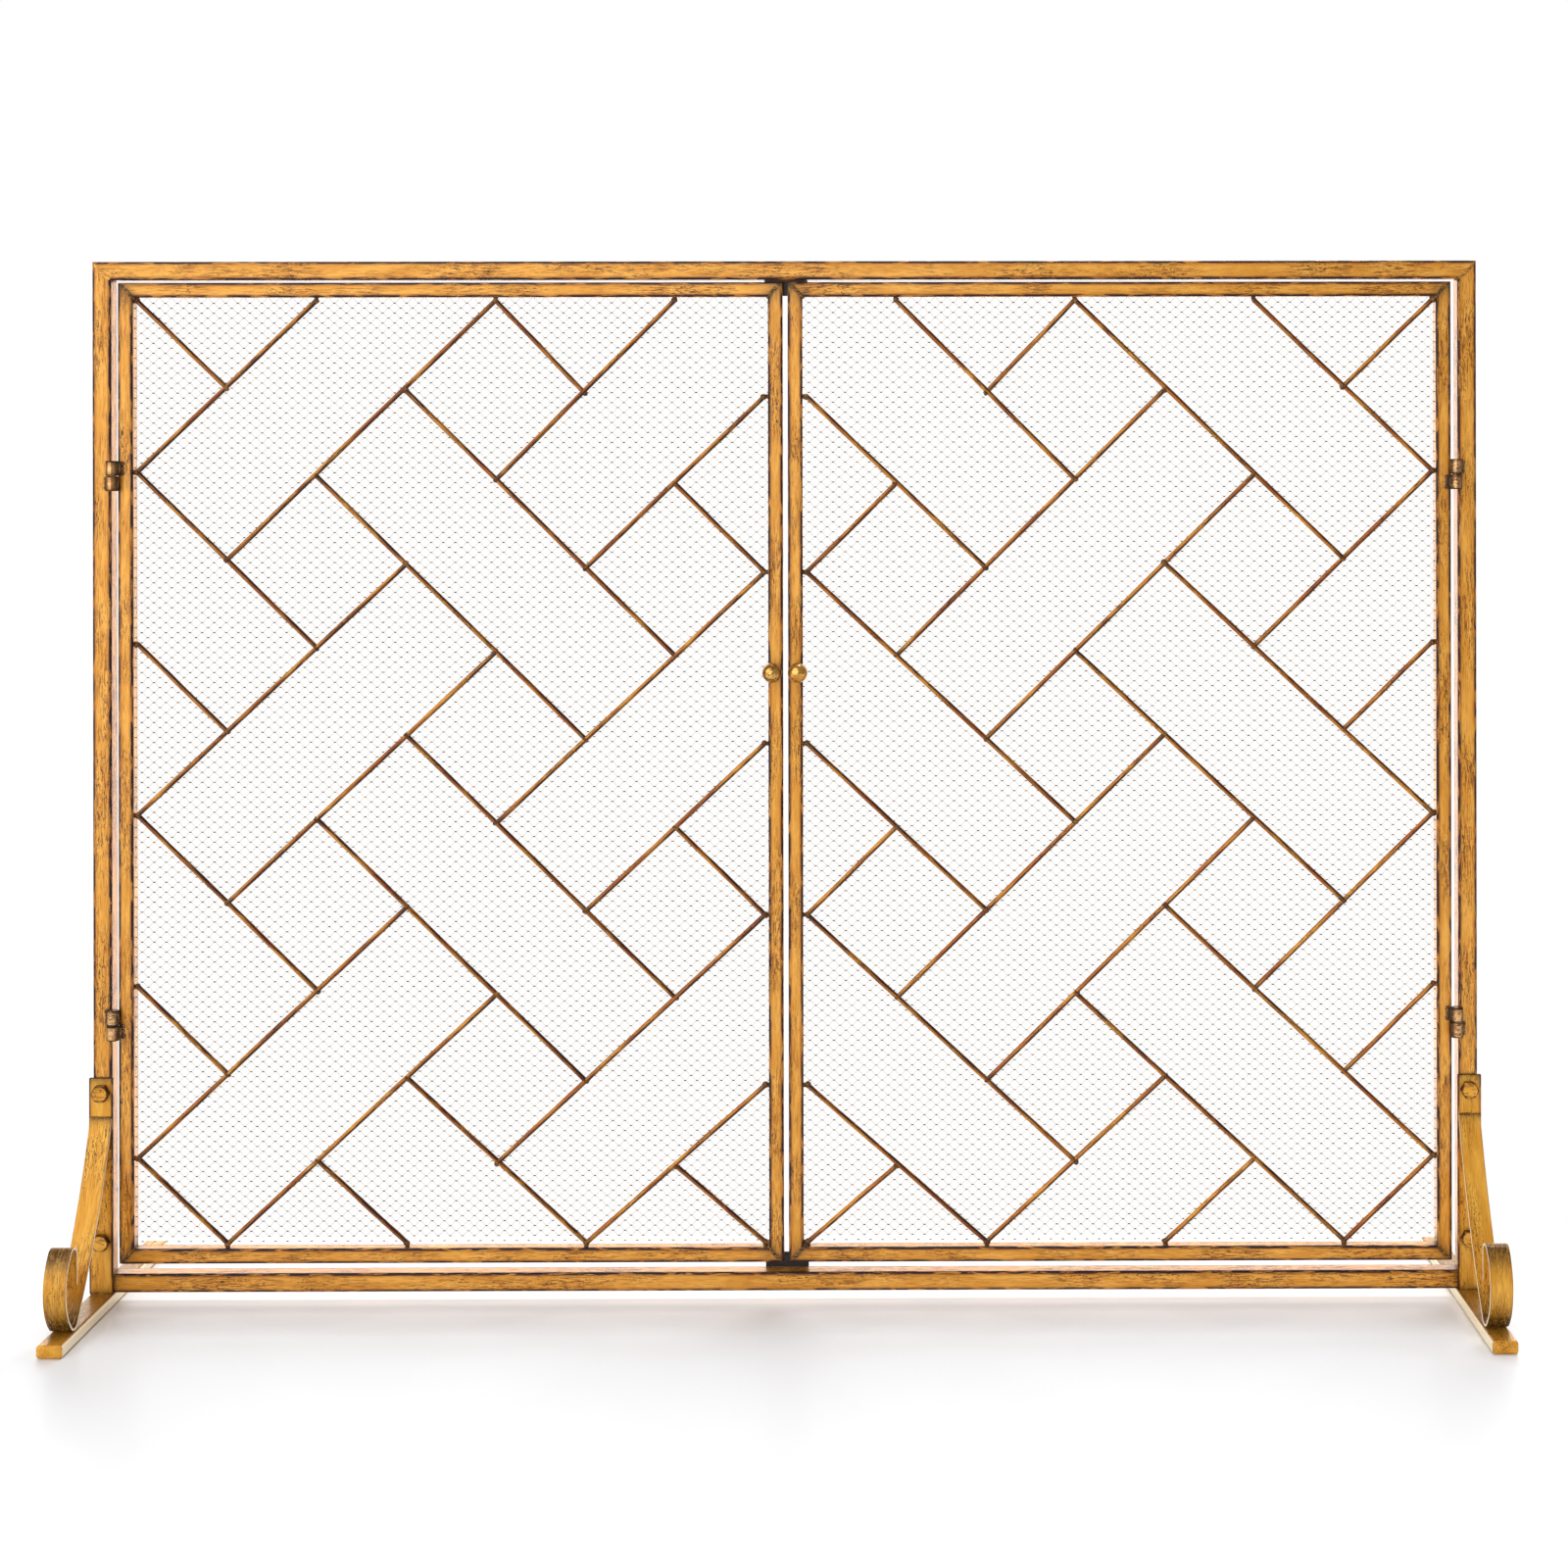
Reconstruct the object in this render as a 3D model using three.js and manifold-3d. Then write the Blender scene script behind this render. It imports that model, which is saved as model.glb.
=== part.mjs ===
// Double-door fireplace screen: a welded square-tube frame on two scroll-braced feet,
// with two hinged doors, each a tube frame holding a basket-weave lattice over a mesh panel.
// Millimetres, +Z up, the front faces -Y, and the origin is on the floor under the middle.
import * as THREE from "three";
import { mergeVertices } from "three/addons/utils/BufferGeometryUtils.js";
import Module from "manifold-3d";

// Outer frame
const FRAME_WIDTH = 1118;
const FRAME_HEIGHT = 832;
const FRAME_TUBE = 15;
const TUBE_WALL = 1;
const TUBE_CORNER = 1.5;

// Doors
const DOOR_TUBE = 12;
const DOOR_SIDE_GAP = 5.5;
const DOOR_TOP_GAP = 2;
const DOOR_BOTTOM_GAP = 8;
const DOOR_MIDDLE_GAP = 4;
const MITRE_GAP = 0.1;

// Lattice of round rods, laid out on a grid of diagonal steps
const ROD_RADIUS = 2;
const ROD_SIDES = 6;
const GRID_COLUMNS = 7;
const GRID_ROWS = 11;
const ROD_STEPS = 3;
const GRID_INSET_HINGE_SIDE = 2.3;
const GRID_INSET_MEETING_SIDE = 3.1;
const GRID_INSET_TOP = 2.3;
const GRID_INSET_BOTTOM = 3.1;
const GRID_SAG_PER_COLUMN = 1.75;
const LATTICE_DEPTH = 4.3;
const LEAN_OFFSET = 0.3;
const STUB_RADIUS = 1.7;

// Mesh panel
const MESH_THICKNESS = 0.6;
const MESH_DEPTH = 6.8;

// Hinges
const HINGE_OUTER_RADIUS = 4.85;
const HINGE_PIN_RADIUS = 2.5;
const HINGE_CLEARANCE = 0.05;
const KNUCKLE_LENGTH = 12;
const KNUCKLE_GAP = 0.3;
const HINGE_STANDOFF = 5.3;
const LUG_START = 1.4;
const LUG_INSET = 1.5;
const LUG_WALL = 0.8;
const LUG_OVERHANG = 1.4;
const UPPER_HINGE_DROP = 156;
const LOWER_HINGE_RISE = 194;

// Knobs
const KNOB_RADIUS = 8;
const KNOB_NECK_RADIUS = 4;
const KNOB_NECK = 2.5;
const KNOB_RISE = 477;
const KNOB_FROM_MIDDLE = 10.4;
const KNOB_SCREW_RADIUS = 2;
const KNOB_SCREW_CLEARANCE = 0.1;
const KNOB_SCREW_REACH = 7;
const KNOB_HOLE_DEPTH = 8;
const SCREW_HEAD_RADIUS = 3.6;
const SCREW_HEAD_HEIGHT = 2.2;

// Catches
const CATCH_WIDTH = 35;
const TOP_CATCH_REACH = 10;
const BOTTOM_CATCH_REACH = 4;
const CATCH_THICKNESS = 1.5;
const MAGNET_WIDTH = 10;
const MAGNET_HEIGHT = 3;
const MAGNET_THICKNESS = 1.4;
const TOP_MAGNET_REACH = 6;
const BOTTOM_MAGNET_REACH = 2;
const MAGNET_GAP = 0.1;

// Feet and leg plates
const FOOT_LENGTH = 240;
const FOOT_WIDTH = 20;
const FOOT_HEIGHT = 10;
const FOOT_CORNER = 2.5;
const PLATE_WIDTH = 19;
const PLATE_THICKNESS = 2.5;
const PLATE_LENGTH = 174;
const PLATE_OUTSET = 0.5;
const BOLT_RADIUS = 4;
const BOLT_CLEARANCE = 0.25;
const BOLT_LENGTH = 12;
const BOLT_HEAD_FLATS = 12.6;
const BOLT_HEAD_HEIGHT = 5.3;
const BOLT_FACE_INSET = 0.3;
const BOLT_CHAMFER_RUN = 0.4;
const UPPER_BOLT_RISE = 162;
const LOWER_BOLT_RISE = 42;
const NUT_CLEARANCE = 0.5;
const NUT_LENGTH = 6.5;

// Scroll brace: one flat strip bent through five bends, from the plate down to the foot and round
const STRIP_WIDTH = 17.5;
const STRIP_THICKNESS = 2;
const HEEL_GAP = 0.31;
const LEAD_LENGTH = 1.2;
const SHOULDER_RADIUS = 30.3;
const SHOULDER_TURN = 21;
const SWEEP_RADIUS = 500;
const SWEEP_TURN = 16.6;
const HEEL_RADIUS = 7.6;
const HEEL_TURN = 96.7;
const BELLY_RADIUS = 41.8;
const BELLY_TURN = 87.3;
const CROWN_RADIUS = 7.2;
const CROWN_TURN = 138.6;
const TAIL_LENGTH = 26;

const frameTop = FOOT_HEIGHT + FRAME_HEIGHT;
const frameHalf = FRAME_WIDTH / 2;
const frameFront = -FRAME_TUBE / 2;
const openingHalf = frameHalf - FRAME_TUBE;
const openingTop = frameTop - FRAME_TUBE;
const openingBottom = FOOT_HEIGHT + FRAME_TUBE;
const postCentre = frameHalf - FRAME_TUBE / 2;
const doorOuter = openingHalf - DOOR_SIDE_GAP;
const doorInner = DOOR_MIDDLE_GAP / 2;
const doorTop = openingTop - DOOR_TOP_GAP;
const doorBottom = openingBottom + DOOR_BOTTOM_GAP;
const catchFace = FRAME_TUBE / 2 - CATCH_THICKNESS;
const doorBack = catchFace - MAGNET_THICKNESS - MAGNET_GAP;
const doorFront = doorBack - DOOR_TUBE;
const hingeAxis = openingHalf - DOOR_SIDE_GAP / 2;
const hingeDepth = Math.min(frameFront, doorFront) - HINGE_STANDOFF;
const knobHeight = doorBottom + KNOB_RISE;
const plateCentre = postCentre + PLATE_OUTSET;
const plateFront = frameFront - PLATE_THICKNESS;
const plateTop = FOOT_HEIGHT + PLATE_LENGTH;
const nutRadius = FRAME_TUBE / 2 - TUBE_WALL - NUT_CLEARANCE;

const wasm = await Module();
wasm.setup();

const gold = { color: 0xc98a2c, roughness: 0.38, metalness: 0.55 };
const darkGold = { color: 0x8a5a22, roughness: 0.36, metalness: 0.7 };
const rodGold = { color: 0xa9641f, roughness: 0.4, metalness: 0.55 };
const knobGold = { color: 0xb5843a, roughness: 0.25, metalness: 0.85 };
const meshGold = { color: 0x6e4a20, roughness: 0.5, metalness: 0.6 };
const black = { color: 0x14110e, roughness: 0.5, metalness: 0.3 };
const zinc = { color: 0x9a9c9e, roughness: 0.35, metalness: 0.9 };

const screen = new THREE.Group();

// Adds one named piece to a group
function piece(group, name, geometry, look) {
  const mesh = new THREE.Mesh(geometry, new THREE.MeshStandardMaterial(look));
  mesh.name = name;
  group.add(mesh);
  return mesh;
}

// Turns a closed geometry into a solid for cutting and joining
function toSolid(geometry) {
  const bare = geometry.index ? geometry.toNonIndexed() : geometry.clone();
  bare.deleteAttribute("normal");
  bare.deleteAttribute("uv");
  const merged = mergeVertices(bare, 1e-4);
  return new wasm.Manifold(
    new wasm.Mesh({
      numProp: 3,
      vertProperties: merged.attributes.position.array,
      triVerts: new Uint32Array(merged.index.array),
    }),
  );
}

// Turns a solid back into a geometry
function toGeometry(solid) {
  const out = solid.getMesh();
  const geometry = new THREE.BufferGeometry();
  geometry.setAttribute("position", new THREE.BufferAttribute(out.vertProperties, 3));
  geometry.setIndex(new THREE.BufferAttribute(out.triVerts, 1));
  geometry.computeVertexNormals();
  return geometry;
}

function join(geometries) {
  let solid = toSolid(geometries[0]);
  for (const geometry of geometries.slice(1)) {
    solid = solid.add(toSolid(geometry));
  }
  return toGeometry(solid);
}

function cut(geometry, tools) {
  let solid = toSolid(geometry);
  for (const tool of tools) {
    solid = solid.subtract(toSolid(tool));
  }
  return toGeometry(solid);
}

// Box between two opposite corners
function box(x0, x1, y0, y1, z0, z1) {
  const geometry = new THREE.BoxGeometry(x1 - x0, y1 - y0, z1 - z0);
  return geometry.translate((x0 + x1) / 2, (y0 + y1) / 2, (z0 + z1) / 2);
}

// Round bar along Y
function barAlongY(radius, x, y0, y1, z, sides = 20) {
  const geometry = new THREE.CylinderGeometry(radius, radius, y1 - y0, sides);
  return geometry.translate(x, (y0 + y1) / 2, z);
}

function roundedRectangle(width, height, radius, Kind) {
  const path = new Kind();
  const w = width / 2;
  const h = height / 2;
  path.moveTo(w - radius, -h);
  path.absarc(w - radius, radius - h, radius, -Math.PI / 2, 0);
  path.absarc(w - radius, h - radius, radius, 0, Math.PI / 2);
  path.absarc(radius - w, h - radius, radius, Math.PI / 2, Math.PI);
  path.absarc(radius - w, radius - h, radius, Math.PI, 1.5 * Math.PI);
  path.closePath();
  return path;
}

// Square tube along Z from z = 0, centred on the Z axis
function squareTube(size, length) {
  const profile = roundedRectangle(size, size, TUBE_CORNER, THREE.Shape);
  const inside = size - 2 * TUBE_WALL;
  profile.holes.push(roundedRectangle(inside, inside, TUBE_CORNER - TUBE_WALL, THREE.Path));
  return new THREE.ExtrudeGeometry(profile, { depth: length, bevelEnabled: false, curveSegments: 2 });
}

function uprightTube(size, x, y, z0, z1) {
  return squareTube(size, z1 - z0).translate(x, y, z0);
}

function levelTube(size, x0, x1, y, z) {
  return squareTube(size, x1 - x0).rotateY(Math.PI / 2).translate(x0, y, z);
}

// Three-cornered block, drawn by its x and z corners and as deep as the frame in y
function wedge(corners) {
  const depth = 3 * FRAME_TUBE;
  const outline = new THREE.Shape(corners.map(([x, z]) => new THREE.Vector2(x, z)));
  const geometry = new THREE.ExtrudeGeometry(outline, { depth, bevelEnabled: false });
  return geometry.rotateX(Math.PI / 2).translate(0, depth / 2, 0);
}

// What a 45 degree mitre takes off the level tube at an outer corner (x, z); sx and sz point inwards
function levelMitre(x, z, sx, sz) {
  const near = FRAME_TUBE;
  const far = 2 * FRAME_TUBE;
  return wedge([
    [x + sx * (MITRE_GAP - near), z - sz * near],
    [x + sx * (MITRE_GAP + far), z + sz * far],
    [x + sx * (MITRE_GAP - near), z + sz * far],
  ]);
}

// The same for the upright tube
function uprightMitre(x, z, sx, sz) {
  const near = FRAME_TUBE;
  const far = 2 * FRAME_TUBE;
  return wedge([
    [x - sx * near, z + sz * (MITRE_GAP - near)],
    [x + sx * far, z + sz * (MITRE_GAP + far)],
    [x + sx * far, z + sz * (MITRE_GAP - near)],
  ]);
}

// Frame rails and posts
piece(
  screen,
  "top_rail",
  cut(levelTube(FRAME_TUBE, -frameHalf, frameHalf, 0, frameTop - FRAME_TUBE / 2), [
    levelMitre(-frameHalf, frameTop, 1, -1),
    levelMitre(frameHalf, frameTop, -1, -1),
  ]),
  gold,
);
piece(
  screen,
  "bottom_rail",
  levelTube(FRAME_TUBE, -openingHalf, openingHalf, 0, FOOT_HEIGHT + FRAME_TUBE / 2),
  gold,
);

// Flat strip's side outline, as forward distance and height: its centre line is swept down through
// the bends from the plate, then lifted so that the heel rests on the foot
function stripOutline() {
  const half = STRIP_THICKNESS / 2;
  const centre = [new THREE.Vector2(-plateFront + half, 0)];
  const headings = [0];
  let heading = 0;
  const go = (distance, turn) => {
    const along = heading + turn / 2;
    const last = centre[centre.length - 1];
    const step = new THREE.Vector2(Math.sin(along), -Math.cos(along)).multiplyScalar(distance);
    heading += turn;
    centre.push(last.clone().add(step));
    headings.push(heading);
  };
  const bend = (radius, degrees, steps) => {
    const turn = THREE.MathUtils.degToRad(degrees) / steps;
    for (let k = 0; k < steps; k++) {
      go(2 * radius * Math.sin(turn / 2), turn);
    }
  };
  go(LEAD_LENGTH, 0);
  bend(SHOULDER_RADIUS, SHOULDER_TURN, 4);
  bend(SWEEP_RADIUS, SWEEP_TURN, 5);
  bend(HEEL_RADIUS, HEEL_TURN, 10);
  bend(BELLY_RADIUS, BELLY_TURN, 8);
  bend(CROWN_RADIUS, CROWN_TURN, 12);
  go(TAIL_LENGTH, 0);
  const lift = FOOT_HEIGHT + HEEL_GAP + half - Math.min(...centre.map((point) => point.y));
  const side = (offset) =>
    centre.map((point, k) => {
      const angle = headings[k];
      const x = point.x + offset * Math.cos(angle);
      return new THREE.Vector2(x, point.y + lift + offset * Math.sin(angle));
    });
  return new THREE.Shape([...side(half), ...side(-half).reverse()]);
}

// Chamfered hexagon head standing forward of y = 0, flats level
function hexHead() {
  const corner = BOLT_HEAD_FLATS / Math.sqrt(3);
  const hexagon = new THREE.CylinderGeometry(corner, corner, BOLT_HEAD_HEIGHT, 6);
  hexagon.rotateY(Math.PI / 6).translate(0, -BOLT_HEAD_HEIGHT / 2, 0);
  const face = BOLT_HEAD_FLATS / 2 - BOLT_FACE_INSET;
  const slope = corner - BOLT_HEAD_FLATS / 2 + BOLT_CHAMFER_RUN;
  const profile = [
    new THREE.Vector2(0, -BOLT_HEAD_HEIGHT),
    new THREE.Vector2(face, -BOLT_HEAD_HEIGHT),
    new THREE.Vector2(face + 2 * slope, slope - BOLT_HEAD_HEIGHT),
    new THREE.Vector2(face + 2 * slope, 1),
    new THREE.Vector2(0, 1),
  ];
  const cone = new THREE.LatheGeometry(profile, 24);
  return toGeometry(toSolid(hexagon).intersect(toSolid(cone)));
}

// Leg parts on one side: post, foot, plate, brace, two bolts and two nuts
for (const [side, s] of [["left", -1], ["right", 1]]) {
  const post = uprightTube(FRAME_TUBE, s * postCentre, 0, FOOT_HEIGHT, frameTop);
  const postCuts = [uprightMitre(s * frameHalf, frameTop, -s, -1)];
  const plateCuts = [];
  const hole = BOLT_RADIUS + BOLT_CLEARANCE;
  for (const [level, rise] of [["upper", UPPER_BOLT_RISE], ["lower", LOWER_BOLT_RISE]]) {
    const z = FOOT_HEIGHT + rise;
    postCuts.push(barAlongY(hole, s * postCentre, frameFront - 1, frameFront + TUBE_WALL + 1, z));
    plateCuts.push(barAlongY(hole, s * postCentre, plateFront - 1, frameFront + 1, z));
    const shank = barAlongY(BOLT_RADIUS, 0, -1, BOLT_LENGTH, 0);
    const bolt = piece(screen, `${side}_${level}_leg_bolt`, join([hexHead(), shank]), gold);
    bolt.position.set(s * postCentre, plateFront, z);
    const ring = new THREE.Shape().absarc(0, 0, nutRadius, 0, 2 * Math.PI);
    ring.holes.push(new THREE.Path().absarc(0, 0, BOLT_RADIUS + HINGE_CLEARANCE, 0, 2 * Math.PI));
    const nutBody = new THREE.ExtrudeGeometry(ring, {
      depth: NUT_LENGTH,
      bevelEnabled: false,
      curveSegments: 10,
    });
    nutBody.rotateX(Math.PI / 2).translate(0, NUT_LENGTH, 0);
    const nut = piece(screen, `${side}_${level}_leg_nut`, nutBody, zinc);
    nut.position.set(s * postCentre, frameFront + TUBE_WALL, z);
  }
  piece(screen, `${side}_post`, cut(post, postCuts), gold);

  const footProfile = roundedRectangle(FOOT_WIDTH, FOOT_HEIGHT, FOOT_CORNER, THREE.Shape);
  const foot = new THREE.ExtrudeGeometry(footProfile, {
    depth: FOOT_LENGTH,
    bevelEnabled: false,
    curveSegments: 4,
  });
  foot.rotateX(Math.PI / 2).translate(s * postCentre, FOOT_LENGTH / 2, FOOT_HEIGHT / 2);
  piece(screen, `${side}_foot_bar`, foot, gold);

  const edge = PLATE_WIDTH / 2;
  const x = s * plateCentre;
  const plate = box(x - edge, x + edge, plateFront, frameFront, FOOT_HEIGHT, plateTop);
  piece(screen, `${side}_leg_plate`, cut(plate, plateCuts), gold);

  const strip = new THREE.ExtrudeGeometry(stripOutline(), {
    depth: STRIP_WIDTH,
    bevelEnabled: false,
  });
  strip.applyMatrix4(
    new THREE.Matrix4().makeBasis(
      new THREE.Vector3(0, -1, 0),
      new THREE.Vector3(0, 0, 1),
      new THREE.Vector3(-1, 0, 0),
    ),
  );
  const brace = piece(screen, `${side}_scroll_brace`, strip, gold);
  brace.position.x = s * plateCentre + STRIP_WIDTH / 2;
}

// Catches: a plate on each rail behind the meeting stiles, with a magnet for each door
for (const [level, z0, z1, magnetMiddle] of [
  ["top", doorTop - TOP_CATCH_REACH, openingTop, doorTop - TOP_MAGNET_REACH],
  ["bottom", openingBottom, doorBottom + BOTTOM_CATCH_REACH, doorBottom + BOTTOM_MAGNET_REACH],
]) {
  const back = FRAME_TUBE / 2;
  const half = CATCH_WIDTH / 2;
  piece(screen, `${level}_catch_plate`, box(-half, half, catchFace, back, z0, z1), black);
  for (const [side, s] of [["left", -1], ["right", 1]]) {
    const x = s * (doorInner + DOOR_TUBE / 2);
    const w = MAGNET_WIDTH / 2;
    const h = MAGNET_HEIGHT / 2;
    const magnet = box(
      x - w,
      x + w,
      catchFace - MAGNET_THICKNESS,
      catchFace,
      magnetMiddle - h,
      magnetMiddle + h,
    );
    piece(screen, `${side}_${level}_magnet`, magnet, black);
  }
}

// Hinge knuckle: a barrel with a weld lug on the side that towards says, reaching back to a tube's face
function knuckle(towards, face) {
  const ring = new THREE.Shape().absarc(0, 0, HINGE_OUTER_RADIUS, 0, 2 * Math.PI);
  const bore = HINGE_PIN_RADIUS + HINGE_CLEARANCE;
  ring.holes.push(new THREE.Path().absarc(0, 0, bore, 0, 2 * Math.PI));
  const barrel = new THREE.ExtrudeGeometry(ring, {
    depth: KNUCKLE_LENGTH,
    bevelEnabled: false,
    curveSegments: 10,
  });
  const near = bore + LUG_WALL;
  const far = HINGE_OUTER_RADIUS + LUG_OVERHANG;
  const x0 = towards > 0 ? near : -far;
  const x1 = towards > 0 ? far : -near;
  const lug = box(x0, x1, LUG_START, face - hingeDepth, LUG_INSET, KNUCKLE_LENGTH - LUG_INSET);
  return join([barrel, lug]);
}

// Grid point of the lattice in column i from the hinge side and row j from the top
function gridPoint(s, i, j) {
  const width = doorOuter - doorInner - 2 * DOOR_TUBE;
  const height = doorTop - doorBottom - 2 * DOOR_TUBE;
  const columnStep = (width - GRID_INSET_HINGE_SIDE - GRID_INSET_MEETING_SIDE) / GRID_COLUMNS;
  const rowStep = (height - GRID_INSET_TOP - GRID_INSET_BOTTOM) / GRID_ROWS;
  const x = doorOuter - DOOR_TUBE - GRID_INSET_HINGE_SIDE - i * columnStep;
  const sag = GRID_SAG_PER_COLUMN * i * (1 - ((2 * j) / GRID_ROWS - 1) ** 6);
  const z = doorTop - DOOR_TUBE - GRID_INSET_TOP - j * rowStep - sag;
  return new THREE.Vector3(s * x, doorFront + LATTICE_DEPTH, z);
}

function inGrid(i, j) {
  return i >= 0 && i <= GRID_COLUMNS && j >= 0 && j <= GRID_ROWS;
}

// One straight rod between two points
function rod(from, to, radius = ROD_RADIUS) {
  const along = new THREE.Vector3().subVectors(to, from);
  const geometry = new THREE.CylinderGeometry(radius, radius, along.length(), ROD_SIDES);
  const length = along.clone().normalize();
  const depth = new THREE.Vector3(0, 1, 0).addScaledVector(length, -length.y).normalize();
  const across = new THREE.Vector3().crossVectors(length, depth);
  return geometry
    .applyMatrix4(new THREE.Matrix4().makeBasis(across, length, depth))
    .translate((from.x + to.x) / 2, (from.y + to.y) / 2, (from.z + to.z) / 2);
}

// Every rod of the basket weave starts at (i, j) and runs three steps down, i growing or falling
// with lean; the part outside the grid is left off
function rodSpans() {
  const spans = [];
  for (let i = -ROD_STEPS; i <= GRID_COLUMNS + ROD_STEPS; i++) {
    for (let j = -ROD_STEPS; j <= GRID_ROWS; j++) {
      const a = ((i % 4) + 4) % 4;
      const b = ((j % 4) + 4) % 4;
      const falling = (a === 2 && b === 2) || (a === 3 && b === 1);
      const rising = (a === 0 && b === 0) || (a === 3 && b === 3);
      for (const lean of [falling ? 1 : 0, rising ? -1 : 0]) {
        if (lean === 0) {
          continue;
        }
        const steps = [0, 1, 2, 3].filter((k) => inGrid(i + lean * k, j + k));
        if (steps.length > 1) {
          const k0 = steps[0];
          const k1 = steps[steps.length - 1];
          spans.push([i + lean * k0, j + k0, i + lean * k1, j + k1]);
        }
      }
    }
  }
  return spans;
}

// Welded lattice of one door: the rods, and short stubs where rod ends stop short of the tubes
function lattice(s) {
  const rods = [];
  const set = (point, lean) => point.setY(point.y + (lean * LEAN_OFFSET) / 2);
  const stubs = new Map();
  for (const [i0, j0, i1, j1] of rodSpans()) {
    const lean = Math.sign(i1 - i0);
    rods.push(rod(set(gridPoint(s, i0, j0), lean), set(gridPoint(s, i1, j1), lean)));
    stubs.set(`${i0},${j0}`, [i0, j0]);
    stubs.set(`${i1},${j1}`, [i1, j1]);
  }
  for (const [i, j] of stubs.values()) {
    const end = gridPoint(s, i, j);
    if (i === 0) {
      rods.push(rod(end, end.clone().setX(s * (doorOuter - DOOR_TUBE + 2)), STUB_RADIUS));
    }
    if (i === GRID_COLUMNS) {
      rods.push(rod(end, end.clone().setX(s * (doorInner + DOOR_TUBE - 2)), STUB_RADIUS));
    }
    if (j === 0) {
      rods.push(rod(end, end.clone().setZ(doorTop - DOOR_TUBE + 2), STUB_RADIUS));
    }
    if (j === GRID_ROWS) {
      rods.push(rod(end, end.clone().setZ(doorBottom + DOOR_TUBE - 2), STUB_RADIUS));
    }
  }
  const opening = box(
    Math.min(s * (doorOuter - DOOR_TUBE), s * (doorInner + DOOR_TUBE)),
    Math.max(s * (doorOuter - DOOR_TUBE), s * (doorInner + DOOR_TUBE)),
    doorFront,
    doorBack,
    doorBottom + DOOR_TUBE,
    doorTop - DOOR_TUBE,
  );
  return toGeometry(toSolid(join(rods)).intersect(toSolid(opening)));
}

// Ball knob on a neck, with a blind screw hole in its back, standing forward of y = 0
function knob() {
  const middle = KNOB_NECK + KNOB_RADIUS;
  const screwHole = KNOB_SCREW_RADIUS + HINGE_CLEARANCE;
  const start = Math.asin(KNOB_NECK_RADIUS / KNOB_RADIUS) - Math.PI / 2;
  const profile = [new THREE.Vector2(0, -KNOB_HOLE_DEPTH), new THREE.Vector2(screwHole, -KNOB_HOLE_DEPTH)];
  profile.push(new THREE.Vector2(screwHole, 0), new THREE.Vector2(KNOB_NECK_RADIUS, 0));
  const steps = 8;
  for (let k = 0; k < steps; k++) {
    const angle = start + ((Math.PI / 2 - start) * k) / steps;
    const across = KNOB_RADIUS * Math.cos(angle);
    profile.push(new THREE.Vector2(across, -middle - KNOB_RADIUS * Math.sin(angle)));
  }
  profile.push(new THREE.Vector2(0, -middle - KNOB_RADIUS));
  return new THREE.LatheGeometry(profile.reverse(), 20);
}

// Hinge levels: which body carries the upper knuckle of each hinge
const doorAbove = {
  left: { upper: true, lower: false },
  right: { upper: false, lower: true },
};
const hingeHeights = { upper: doorTop - UPPER_HINGE_DROP, lower: doorBottom + LOWER_HINGE_RISE };

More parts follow.
